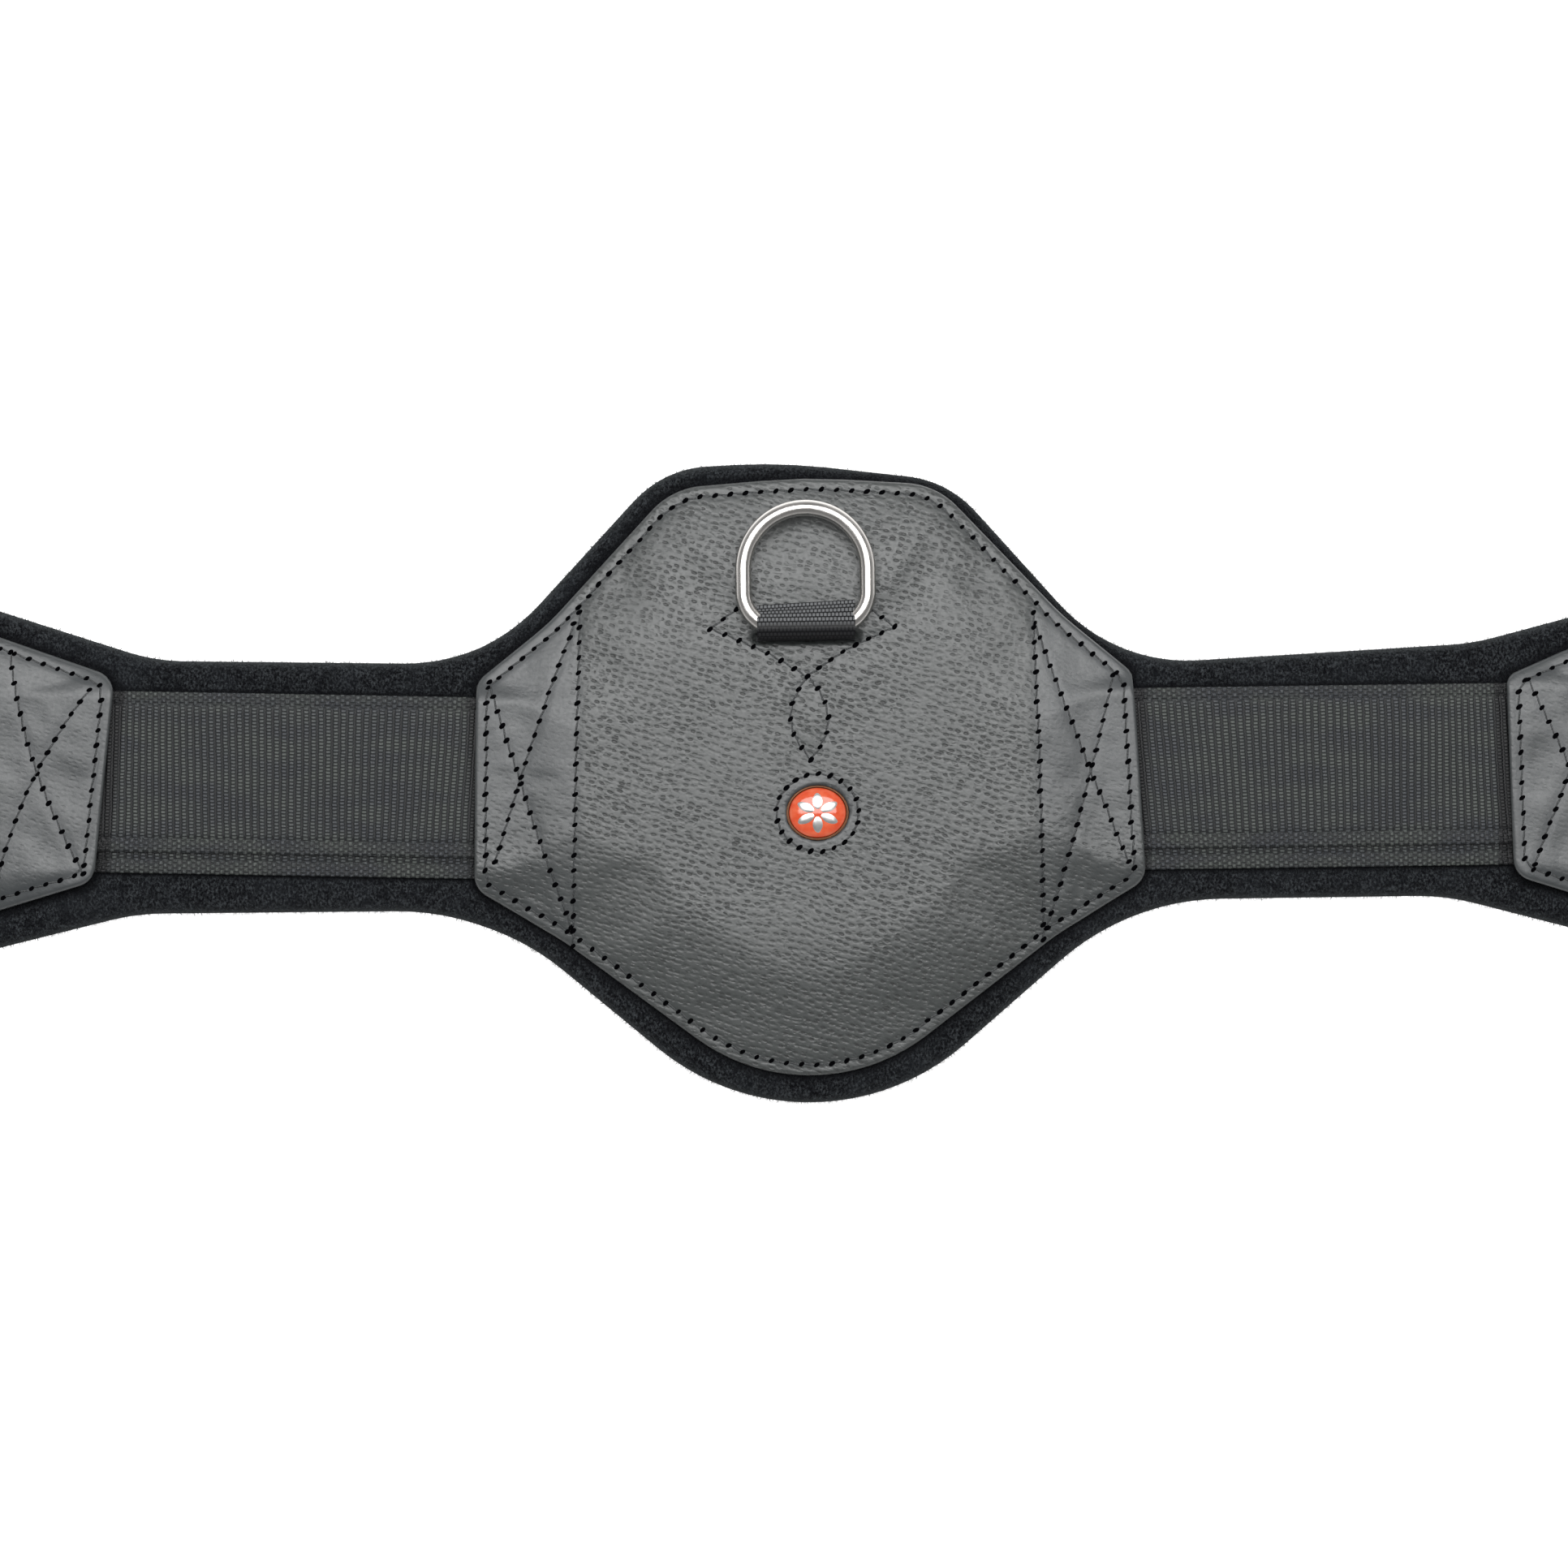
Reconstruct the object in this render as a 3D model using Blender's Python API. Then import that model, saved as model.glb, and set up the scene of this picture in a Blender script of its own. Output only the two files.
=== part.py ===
"""Short saddle girth: a felt-lined belly strap with leather panels over a woven load web,
a D-ring in the middle and two roller buckles on elastic at each end.

X runs along the girth, +Y is its front edge and +Z its outer, leather side. The felt side
lies on z = 0, and the origin is in the middle of it. Sizes below are in millimetres, and
every mesh is made in metres. Each neck of the strap is parted where it folds.
"""

import math

import bpy

MM = 0.001
GAP = 0.3  # between pieces that touch

# Thicknesses and heights, from the felt side up
PAD_TOP = 6.5
LINING_SKIN = 1.2
LINING_WALL = 1.5
LINING_LIP = 12.0
GUARD_TOP = 3.9
WEB_THICK = 1.2
WEB_LOWER_Z = PAD_TOP + GAP
WEB_UPPER_Z = WEB_LOWER_Z + WEB_THICK + GAP
LEATHER = 1.8
LEATHER_RIM_Z = PAD_TOP + GAP
LEATHER_OVER_WEB_Z = 10.0
FILLER_Z = 9.8
FILLER_THICK = 1.8
CENTRE_LEATHER_Z = FILLER_Z + FILLER_THICK + GAP
CENTRE_TOP = CENTRE_LEATHER_Z + LEATHER

# Plan
FOLD_X = 135.0
NECK_HALF = 31.6
END_X = 372.0
END_HALF = 56.0
PAD_END_X = 292.0
WEB_FRONT_Y = 23.7
WEB_WIDTH = 41.9
WEB_END_X = 236.0
WING_PANEL_X = (183.5, 288.0)
RIM_SLOPE = 6.5  # width of the leather's sloping border
CENTRE_SLOPE = 14.0
WEB_CROSSING_HALF = 25.0

# D-ring and its tape
SLIT_Y = 38.0
TAPE_HALF = 12.7
TAPE_THICK = 0.9
RING_WIRE = 2.2
RING_HALF = 16.0
RING_BAR_Y = 40.6
RING_TOP_Y = 71.3
RING_BAR_CORNER = 9.0
RING_Z = CENTRE_TOP + GAP + TAPE_THICK + GAP + RING_WIRE
TAPE_LOOP_Y = (37.15, 47.6)

# Badge
BADGE_X, BADGE_Y = 2.3, -7.6
BADGE_HALF_X, BADGE_HALF_Y = 8.2, 7.2

# Buckles: each is placed by the middle of its bar
BUCKLE_ROWS = {"front": 26.0, "rear": -26.0}
BAR_X = 322.0
BAR_Z = PAD_TOP + GAP + 1.45
BUCKLE_WIRE = 2.4
BUCKLE_HALF = 17.9
BUCKLE_LENGTH = 36.0
BUCKLE_CORNER = 3.6
ROLLER_RADIUS = 3.9
ROLLER_HALF = 14.0
ELASTIC_HALF = 14.0
ELASTIC_STACK = 1.45  # half the thickness of the doubled elastic
ELASTIC_START_X = 246.0
LOOP_TAIL = 20.0
LOOP_OUTER = 4.0
LOOP_INNER = 2.7
TONGUE_HALF = 2.3
SLOT_HALF = 3.6
SLOT_TAIL = 13.0

ARC_STEP = math.radians(11)

# Plan outlines as (x, y, corner radius), from the rear middle up the right-hand side
CENTRE_PANEL = [
    (0, -88.6, 50), (64, -40.4, 60), (86.7, -26.2, 6),
    (86.7, 27.7, 6), (67, 42.7, 60), (34.4, 77.4, 20), (0, 79.8, 150),
]
CENTRE_PAD = [
    (0, -101.4, 66), (83.5, -NECK_HALF, 65), (FOLD_X - GAP / 2, -NECK_HALF, 0),
    (FOLD_X - GAP / 2, NECK_HALF, 0), (81.3, NECK_HALF, 50), (39.5, 78.2, 30), (0, 82.5, 200),
]
WING_PAD = [
    (FOLD_X + GAP / 2, -NECK_HALF, 0), (166, -NECK_HALF, 60), (256, -END_HALF, 70),
    (PAD_END_X - GAP / 2, -END_HALF, 0), (PAD_END_X - GAP / 2, END_HALF, 0),
    (243, END_HALF, 70), (163, NECK_HALF, 60), (FOLD_X + GAP / 2, NECK_HALF, 0),
]
GUARD = [
    (PAD_END_X + GAP / 2, -END_HALF, 0), (END_X, -END_HALF, 20),
    (END_X, END_HALF, 20), (PAD_END_X + GAP / 2, END_HALF, 0),
]
WING_PANEL = [
    (WING_PANEL_X[0], -27, 6), (250, -48, 50), (WING_PANEL_X[1], -48, 8),
    (WING_PANEL_X[1], 48, 8), (242, 48, 50), (WING_PANEL_X[0], 28.5, 6),
]


def material(name, colour, roughness, metallic=0.0):
    made = bpy.data.materials.new(name)
    made.use_nodes = True
    shader = made.node_tree.nodes["Principled BSDF"]
    shader.inputs["Base Color"].default_value = (*colour, 1)
    shader.inputs["Roughness"].default_value = roughness
    shader.inputs["Metallic"].default_value = metallic
    return made


def add_object(name, data, look):
    """A new object in the scene, its mesh or curve in metres, with its material."""
    made = bpy.data.objects.new(name, data)
    bpy.context.scene.collection.objects.link(made)
    if not data.materials:
        data.materials.append(look)
    if isinstance(data, bpy.types.Mesh):
        data.shade_smooth()
        data.set_sharp_from_angle(angle=math.radians(35))
    return made


def mesh_of(name, points, faces):
    """A mesh in metres from points in millimetres."""
    mesh = bpy.data.meshes.new(name)
    mesh.from_pydata([tuple(c * MM for c in p) for p in points], [], faces)
    mesh.update()
    return mesh


def whole(half):
    """A whole outline from its right-hand half, whose first and last corners lie on x = 0."""
    return half + [(-x, y, r) for x, y, r in reversed(half[1:-1])]


def mirrored(corners):
    return [(-x, y, r) for x, y, r in reversed(corners)]


def inset_corner(before, corner, after, inset):
    """The corner of the outline moved inwards, and its radius there. Corners run anticlockwise."""
    x, y, radius = corner
    ax, ay = x - before[0], y - before[1]
    bx, by = after[0] - x, after[1] - y
    a_len, b_len = math.hypot(ax, ay), math.hypot(bx, by)
    ax, ay, bx, by = ax / a_len, ay / a_len, bx / b_len, by / b_len
    turn = math.atan2(ax * by - ay * bx, ax * bx + ay * by)
    # The corner moves along the bisector of its two edges' inward normals.
    reach = inset / (1 + math.cos(turn))
    moved = (x - (ay + by) * reach, y + (ax + bx) * reach)
    if radius > 0:
        radius = max(radius - math.copysign(inset, turn), 0.4)
    return moved, (ax, ay), (bx, by), turn, radius


def outline(corners, inset=0.0):
    """Points round a rounded polygon, moved inwards. Every inset gives the same number of points."""
    points = []
    count = len(corners)
    for i, corner in enumerate(corners):
        moved, along, leaving, turn, radius = inset_corner(
            corners[i - 1], corner, corners[(i + 1) % count], inset
        )
        if radius == 0:
            points.append(moved)
            continue
        side = math.copysign(1, turn)
        tangent = radius * math.tan(abs(turn) / 2)
        start = (moved[0] - along[0] * tangent, moved[1] - along[1] * tangent)
        centre = (start[0] - along[1] * radius * side, start[1] + along[0] * radius * side)
        steps = max(2, math.ceil(abs(turn) / ARC_STEP))
        for k in range(steps + 1):
            angle = turn * k / steps
            dx, dy = start[0] - centre[0], start[1] - centre[1]
            c, s = math.cos(angle), math.sin(angle)
            points.append((centre[0] + dx * c - dy * s, centre[1] + dx * s + dy * c))
    return points


def loops_solid(name, loops, look):
    """A solid through loops of points, each with the same number of points, capped at both ends."""
    count = len(loops[0])
    points = [p for loop in loops for p in loop]
    faces = [tuple(reversed(range(count)))]
    for level in range(len(loops) - 1):
        a, b = level * count, (level + 1) * count
        for i in range(count):
            j = (i + 1) % count
            faces.append((a + i, a + j, b + j, b + i))
    faces.append(tuple(range(len(points) - count, len(points))))
    return add_object(name, mesh_of(name, points, faces), look)


def at_height(plan, z):
    return [(x, y, z) for x, y in plan]


def plate(name, corners, inset, bottom, top, look, rounding=0.0):
    """A flat plate with slightly rounded rims."""
    heights = [(rounding, bottom), (0, bottom + rounding), (0, top - rounding), (rounding, top)]
    if rounding == 0:
        heights = [(0, bottom), (0, top)]
    loops = [at_height(outline(corners, inset + d), z) for d, z in heights]
    return loops_solid(name, loops, look)


def box(name, low, high, look):
    corners = [(low[0], low[1], 0), (high[0], low[1], 0), (high[0], high[1], 0), (low[0], high[1], 0)]
    return plate(name, corners, 0, low[2], high[2], look)


def profile_solid(name, profile, y_low, y_high, look):
    """A profile in XZ, anticlockwise as (x, z), extruded along Y."""
    loops = [[(x, y, z) for x, z in profile] for y in (y_high, y_low)]
    return loops_solid(name, loops, look)


def lining_tray(name, corners, look):
    """A skin that wraps the foam: a floor, a wall and a lip that turns in over the rim."""
    edge = 1.2
    levels = [
        (edge, 0), (0, edge), (0, PAD_TOP - edge), (edge, PAD_TOP),
        (LINING_LIP, PAD_TOP), (LINING_LIP, PAD_TOP - LINING_SKIN),
        (LINING_WALL, PAD_TOP - LINING_SKIN), (LINING_WALL, LINING_SKIN),
    ]
    return loops_solid(name, [at_height(outline(corners, d), z) for d, z in levels], look)


def foam_core(name, corners, look):
    return plate(
        name, corners, LINING_WALL + GAP, LINING_SKIN + GAP, PAD_TOP - LINING_SKIN - GAP, look
    )


def leather_panel(name, corners, over_web, plateau_z, slope, look):
    """Leather sewn down round its rim, which steps up over a strap where over_web says so."""
    rim = [
        (x, y, LEATHER_OVER_WEB_Z if over_web(x, y) else LEATHER_RIM_Z)
        for x, y in outline(corners)
    ]
    shoulder = at_height(outline(corners, RIM_SLOPE), LEATHER_OVER_WEB_Z)
    plateau = at_height(outline(corners, slope), plateau_z)
    under = [plateau, shoulder, rim]
    over = [[(x, y, z + LEATHER) for x, y, z in loop] for loop in reversed(under)]
    return loops_solid(name, under + over, look)


def cut(target, cutter):
    """Takes the cutter out of the target with a Boolean, and hides the cutter."""
    cutter.hide_render = True
    cutter.display_type = "WIRE"
    modifier = target.modifiers.new("cut_" + cutter.name, "BOOLEAN")
    modifier.operation = "DIFFERENCE"
    modifier.object = cutter


def ellipse_plate(name, x, y, half_x, half_y, levels, look, points=32):
    """A stack of ellipses: levels are (share of the half widths, height)."""
    loops = []
    for share, z in levels:
        angles = [2 * math.pi * k / points for k in range(points)]
        loops.append(
            [(x + half_x * share * math.cos(a), y + half_y * share * math.sin(a), z) for a in angles]
        )
    return loops_solid(name, loops, look)


def wire_loop(name, corners, z, radius, look):
    """A closed loop of round wire round an outline at one height."""
    curve = bpy.data.curves.new(name, "CURVE")
    curve.dimensions = "3D"
    curve.bevel_depth = radius * MM
    curve.bevel_resolution = 3
    spline = curve.splines.new("POLY")
    plan = outline(corners)
    spline.points.add(len(plan) - 1)
    for point, (x, y) in zip(spline.points, plan):
        point.co = (x * MM, y * MM, z * MM, 1)
    spline.use_cyclic_u = True
    return add_object(name, curve, look)


def arc(radius, first, last, steps):
    """Points (x, z) on an arc about the origin, angles in degrees."""
    angles = [math.radians(first + (last - first) * k / steps) for k in range(steps + 1)]
    return [(radius * math.cos(a), radius * math.sin(a)) for a in angles]


def webs(prefix, x_low, x_high, look):
    """Two tapes of one width, the lower one set back so that its rear edge shows."""
    set_back = 2 * WEB_FRONT_Y - WEB_WIDTH
    for name, front, z in (
        ("upper", WEB_FRONT_Y, WEB_UPPER_Z),
        ("lower", WEB_FRONT_Y - set_back, WEB_LOWER_Z),
    ):
        box(
            f"{prefix}_web_{name}",
            (x_low, front - WEB_WIDTH, z),
            (x_high, front, z + WEB_THICK),
            look,
        )


def centre_section(looks):
    pad = whole(CENTRE_PAD)
    lining_tray("centre_lining", pad, looks["felt"])
    foam_core("centre_foam", pad, looks["foam"])
    webs("centre", -FOLD_X + GAP / 2, FOLD_X - GAP / 2, looks["web"])
    panel_plan = whole(CENTRE_PANEL)
    panel = leather_panel(
        "centre_panel",
        panel_plan,
        lambda x, y: abs(x) > 80 and abs(y) < WEB_CROSSING_HALF,
        CENTRE_LEATHER_Z,
        CENTRE_SLOPE,
        looks["leather"],
    )
    filler = plate(
        "centre_filler", panel_plan, CENTRE_SLOPE + 1, FILLER_Z, FILLER_Z + FILLER_THICK, looks["board"]
    )
    ring_and_tape(panel, filler, looks)
    badge(panel, filler, looks)


def ring_and_tape(panel, filler, looks):
    """The D-ring, the tape loop that holds it, and the tape's tail under the leather."""
    slit_half = TAPE_THICK + GAP
    through = 3.0
    cut(panel, box(
        "cut_slit",
        (-TAPE_HALF - GAP, SLIT_Y - slit_half, CENTRE_LEATHER_Z - through),
        (TAPE_HALF + GAP, SLIT_Y + slit_half, CENTRE_TOP + through),
        looks["board"],
    ))
    tail_end = 14.0
    cut(filler, box(
        "cut_tape_pocket",
        (-TAPE_HALF - GAP, tail_end - 1, FILLER_Z - through),
        (TAPE_HALF + GAP, SLIT_Y + slit_half, FILLER_Z + FILLER_THICK + through),
        looks["board"],
    ))
    low, high = FILLER_Z + GAP / 2, CENTRE_TOP - GAP
    lay = low + 2 * TAPE_THICK - GAP
    tail = [
        (tail_end, low), (SLIT_Y + TAPE_THICK, low), (SLIT_Y + TAPE_THICK, high),
        (SLIT_Y - TAPE_THICK, high), (SLIT_Y - TAPE_THICK, lay), (tail_end, lay),
    ]
    loops = [[(x, y, z) for y, z in tail] for x in (-TAPE_HALF, TAPE_HALF)]
    loops_solid("ring_tape_tail", loops, looks["tape"])

    half = TAPE_LOOP_Y[1] - TAPE_LOOP_Y[0]
    bore_half = RING_WIRE + GAP
    outer_half = bore_half + TAPE_THICK
    low_y, high_y = TAPE_LOOP_Y
    middle = RING_Z
    stadium = [
        (low_y, middle - outer_half, outer_half - 0.1), (high_y, middle - outer_half, outer_half - 0.1),
        (high_y, middle + outer_half, outer_half - 0.1), (low_y, middle + outer_half, outer_half - 0.1),
    ]
    assert half > 2 * outer_half
    outer = outline(stadium)
    inner = outline(stadium, TAPE_THICK)
    x = TAPE_HALF
    rings = [
        [(-x, y, z) for y, z in inner], [(-x, y, z) for y, z in outer],
        [(x, y, z) for y, z in outer], [(x, y, z) for y, z in inner],
    ]
    ring_solid("ring_tape_loop", rings, looks["tape"])

    ring = [
        (-RING_HALF, RING_BAR_Y, RING_BAR_CORNER), (RING_HALF, RING_BAR_Y, RING_BAR_CORNER),
        (RING_HALF, RING_TOP_Y, RING_HALF - 0.1), (-RING_HALF, RING_TOP_Y, RING_HALF - 0.1),
    ]
    wire_loop("d_ring", ring, RING_Z, RING_WIRE, looks["steel"])


def ring_solid(name, loops, look):
    """A solid through loops of points that closes on itself, so it keeps a hole along its middle."""
    count = len(loops[0])
    points = [p for loop in loops for p in loop]
    faces = []
    for level in range(len(loops)):
        a, b = level * count, (level + 1) % len(loops) * count
        for i in range(count):
            j = (i + 1) % count
            faces.append((a + i, a + j, b + j, b + i))
    return add_object(name, mesh_of(name, points, faces), look)


def badge(panel, filler, looks):
    """A resin dome in a metal cup, riveted through the filler to a washer."""
    place = (BADGE_X, BADGE_Y)
    through = 3.0
    hole = [(1, CENTRE_LEATHER_Z - through), (1, CENTRE_TOP + through)]
    cut(panel, ellipse_plate(
        "cut_badge_hole", *place, BADGE_HALF_X + GAP, BADGE_HALF_Y + GAP, hole, looks["board"]
    ))
    stem, washer, washer_thick = 1.5, 5.0, 0.6
    bore = [(1, FILLER_Z - through), (1, FILLER_Z + FILLER_THICK + through)]
    cut(filler, ellipse_plate(
        "cut_badge_bore", *place, stem + GAP, stem + GAP, bore, looks["board"], 16
    ))
    seat = [(1, FILLER_Z - through), (1, FILLER_Z + washer_thick + GAP)]
    cut(filler, ellipse_plate(
        "cut_washer_seat", *place, washer + GAP, washer + GAP, seat, looks["board"], 24
    ))
    # The washer is a ring round the stem.
    rings = []
    for radius, z in (
        (stem + GAP, FILLER_Z), (washer, FILLER_Z),
        (washer, FILLER_Z + washer_thick), (stem + GAP, FILLER_Z + washer_thick),
    ):
        angles = [2 * math.pi * k / 24 for k in range(24)]
        rings.append([(place[0] + radius * math.cos(a), place[1] + radius * math.sin(a), z) for a in angles])
    ring_solid("badge_washer", rings, looks["steel"])

    floor_z = CENTRE_LEATHER_Z
    rim_z = CENTRE_TOP + 0.2
    stem_x, stem_y = stem / BADGE_HALF_X, stem / BADGE_HALF_Y
    stem_share = (stem_x + stem_y) / 2
    cup = [
        (stem_share, FILLER_Z), (stem_share, floor_z), (0.96, floor_z), (1, floor_z + 0.4), (1, rim_z - 0.2),
        (0.98, rim_z), (0.94, rim_z), (0.93, rim_z - 0.2), (0.93, floor_z + 0.5),
    ]
    ellipse_plate("badge_cup", *place, BADGE_HALF_X, BADGE_HALF_Y, cup, looks["cup"])
    base = floor_z + 0.5 + GAP
    crown = CENTRE_TOP + 1.9
    dome = [(0.90, base), (0.90, CENTRE_TOP)]
    for k in range(1, 6):
        angle = math.radians(15 * k)
        dome.append((0.90 * math.cos(angle), CENTRE_TOP + (crown - CENTRE_TOP) * math.sin(angle)))
    ellipse_plate("badge_dome", *place, BADGE_HALF_X, BADGE_HALF_Y, dome, looks["resin"])


def wing(side, looks):
    """One end of the girth, from the fold out to the buckles. side is 1 at +X and -1 at -X."""
    name = "right" if side > 0 else "left"

    def turned(corners):
        return corners if side > 0 else mirrored(corners)

    lining_tray(f"{name}_lining", turned(WING_PAD), looks["felt"])
    foam_core(f"{name}_foam", turned(WING_PAD), looks["foam"])
    plate(f"{name}_buckle_guard", turned(GUARD), 0, 0, GUARD_TOP, looks["felt"], 1.0)
    ends = sorted((side * (FOLD_X + GAP / 2), side * WEB_END_X))
    webs(name, *ends, looks["web"])
    middle = sum(WING_PANEL_X) / 2
    elastic_edge = 41.5

    def over_web(x, y):
        crossing = WEB_CROSSING_HALF if abs(x) < middle else elastic_edge
        on_end = min(abs(abs(x) - end) for end in WING_PANEL_X) < 1.5
        return on_end and abs(y) < crossing

    leather_panel(
        f"{name}_panel", turned(WING_PANEL), over_web, LEATHER_OVER_WEB_Z, RIM_SLOPE + 4, looks["leather"]
    )
    for row, y in BUCKLE_ROWS.items():
        buckle(f"{name}_{row}", side, y, looks)


def buckle(name, side, y, looks):
    """One buckle and its elastic. It is made at +X about its bar, and turned half round for -X."""
    pivot = bpy.data.objects.new(f"{name}_bar", None)
    bpy.context.scene.collection.objects.link(pivot)
    pivot.location = (side * BAR_X * MM, y * MM, BAR_Z * MM)
    pivot.rotation_euler.z = 0 if side > 0 else math.pi

    strap = box(
        f"{name}_elastic",
        (ELASTIC_START_X - BAR_X, -ELASTIC_HALF, -ELASTIC_STACK),
        (-LOOP_TAIL - GAP, ELASTIC_HALF, ELASTIC_STACK),
        looks["elastic"],
    )
    loop = elastic_loop(name, looks["elastic"])
    half = BUCKLE_HALF
    corners = [
        (0, -half, BUCKLE_CORNER), (BUCKLE_LENGTH, -half, BUCKLE_CORNER),
        (BUCKLE_LENGTH, half, BUCKLE_CORNER), (0, half, BUCKLE_CORNER),
    ]
    frame = wire_loop(f"{name}_buckle_frame", corners, 0, BUCKLE_WIRE, looks["steel"])
    roller = roller_tube(f"{name}_roller", looks["steel"])
    tongue = buckle_tongue(f"{name}_tongue", looks["steel"])
    for piece in (strap, loop, frame, roller, tongue):
        piece.parent = pivot
    for modifier in loop.modifiers:
        modifier.object.parent = pivot
    roller.location.x = BUCKLE_LENGTH * MM


def elastic_loop(name, look):
    """The folded end of the elastic round the bar, slotted for the tongue."""
    lean = 40
    throat = -9.0
    outer = arc(LOOP_OUTER, -180 + lean + 30, 180 - lean - 30, 14)
    outer += [(throat, ELASTIC_STACK), (-LOOP_TAIL, ELASTIC_STACK)]
    outer += [(-LOOP_TAIL, -ELASTIC_STACK), (throat, -ELASTIC_STACK)]
    loop = profile_solid(f"{name}_elastic_loop", outer, -ELASTIC_HALF, ELASTIC_HALF, look)
    past = 2.0
    eye = arc(LOOP_INNER, -180 + lean, 180 - lean, 14) + [(throat + 2.0, 0)]
    cut(loop, profile_solid(f"cut_{name}_eye", eye, -ELASTIC_HALF - past, ELASTIC_HALF + past, look))
    slot = box(
        f"cut_{name}_slot", (-SLOT_TAIL, -SLOT_HALF, -LOOP_OUTER - past),
        (LOOP_OUTER + past, SLOT_HALF, LOOP_OUTER + past), look,
    )
    cut(loop, slot)
    return loop


def roller_tube(name, look):
    """A tube along Y about the buckle's outer bar."""
    sides = 20
    inner, outer = BUCKLE_WIRE + GAP, ROLLER_RADIUS
    rings = []
    for radius, y in ((inner, ROLLER_HALF), (outer, ROLLER_HALF), (outer, -ROLLER_HALF), (inner, -ROLLER_HALF)):
        angles = [2 * math.pi * k / sides for k in range(sides)]
        rings.append([(radius * math.cos(a), y, radius * math.sin(a)) for a in angles])
    return ring_solid(name, rings, look)


def buckle_tongue(name, look):
    """A flat hook round the bar and a shank that rests on the roller."""
    hook_in, hook_out = LOOP_INNER - 0.05, LOOP_OUTER - 0.05
    on_roller = ROLLER_RADIUS + GAP
    profile = arc(hook_out, 90, 320, 16) + arc(hook_in, 320, 40, 18)
    profile += [(8, 3.2), (20, 3.9), (BUCKLE_LENGTH, on_roller), (40, 4.5), (41.2, 5.3)]
    profile += [(40.2, 6.4), (BUCKLE_LENGTH, 7.2), (20, 6.9), (8, 5.7)]
    return profile_solid(name, profile, -TONGUE_HALF, TONGUE_HALF, look)


def main():
    for old in list(bpy.data.objects):
        bpy.data.objects.remove(old)
    looks = {
        "leather": material("grey_leather", (0.17, 0.18, 0.18), 0.5),
        "felt": material("black_felt", (0.012, 0.014, 0.015), 0.95),
        "foam": material("pad_foam", (0.25, 0.25, 0.26), 0.9),
        "web": material("woven_web", (0.045, 0.05, 0.048), 0.8),
        "tape": material("ribbed_tape", (0.02, 0.022, 0.025), 0.7),
        "elastic": material("woven_elastic", (0.015, 0.016, 0.018), 0.85),
        "board": material("leather_board", (0.18, 0.12, 0.08), 0.8),
        "steel": material("satin_steel", (0.7, 0.68, 0.65), 0.28, 1.0),
        "cup": material("bronze_cup", (0.25, 0.13, 0.08), 0.35, 1.0),
        "resin": material("orange_resin", (0.80, 0.13, 0.05), 0.12),
    }
    centre_section(looks)
    for side in (-1, 1):
        wing(side, looks)


main()
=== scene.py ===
import math
import random

import bpy
import numpy as np
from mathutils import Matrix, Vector, noise


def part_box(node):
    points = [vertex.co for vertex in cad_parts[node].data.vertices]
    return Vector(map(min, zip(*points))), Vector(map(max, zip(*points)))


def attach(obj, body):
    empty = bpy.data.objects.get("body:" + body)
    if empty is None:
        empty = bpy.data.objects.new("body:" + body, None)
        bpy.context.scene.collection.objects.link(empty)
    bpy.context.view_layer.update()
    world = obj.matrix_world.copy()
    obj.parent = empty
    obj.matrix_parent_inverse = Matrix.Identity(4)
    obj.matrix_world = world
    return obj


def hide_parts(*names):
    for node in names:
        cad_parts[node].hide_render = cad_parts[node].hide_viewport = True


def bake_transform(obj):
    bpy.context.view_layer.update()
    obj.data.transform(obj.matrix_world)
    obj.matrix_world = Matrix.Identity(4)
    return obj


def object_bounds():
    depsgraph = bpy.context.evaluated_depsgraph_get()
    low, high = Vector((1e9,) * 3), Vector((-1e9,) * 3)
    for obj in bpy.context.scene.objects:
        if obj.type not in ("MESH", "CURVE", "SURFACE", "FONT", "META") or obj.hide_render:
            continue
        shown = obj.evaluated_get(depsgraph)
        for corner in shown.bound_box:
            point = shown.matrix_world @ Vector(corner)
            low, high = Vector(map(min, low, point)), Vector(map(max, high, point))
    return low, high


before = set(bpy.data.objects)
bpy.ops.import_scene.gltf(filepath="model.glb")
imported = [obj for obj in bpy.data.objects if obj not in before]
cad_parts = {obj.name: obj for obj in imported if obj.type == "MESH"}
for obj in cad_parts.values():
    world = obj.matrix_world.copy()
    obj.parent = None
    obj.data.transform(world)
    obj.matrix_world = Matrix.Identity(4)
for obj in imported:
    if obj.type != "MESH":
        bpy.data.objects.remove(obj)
cad_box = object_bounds()

# Lengths are in millimetres until a mesh is made, in the CAD's own frame.
MM = 0.001
SIDES = {"left": -1, "right": 1}
ROWS = ("front", "rear")


def node_box(node):
    low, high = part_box(node)
    return low / MM, high / MM


# Heights and places that come from the frame
PAD_TOP = node_box("centre_lining")[1].z
GUARD_TOP = node_box("left_buckle_guard")[1].z
PLATEAU = node_box("centre_panel")[1].z
WEB_HIGH = node_box("right_web_upper")[1]
LOWER_WEB_LOW = node_box("right_web_lower")[0]
GUARD_X = node_box("right_buckle_guard")[0].x
DOME_LOW, DOME_HIGH = node_box("badge_dome")
CUP_LOW, CUP_HIGH = node_box("badge_cup")
RING_LOW, RING_HIGH = node_box("d_ring")

WIRE = (RING_HIGH.z - RING_LOW.z) / 2
RING_Z = (RING_HIGH.z + RING_LOW.z) / 2
RING_HALF = RING_HIGH.x - WIRE
RING_BAR_Y = RING_LOW.y + WIRE
RING_TOP_Y = RING_HIGH.y - WIRE

BADGE = ((CUP_LOW + CUP_HIGH) / 2).xy
BADGE_HALF = (CUP_HIGH.x - CUP_LOW.x) / 2, (CUP_HIGH.y - CUP_LOW.y) / 2

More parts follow.
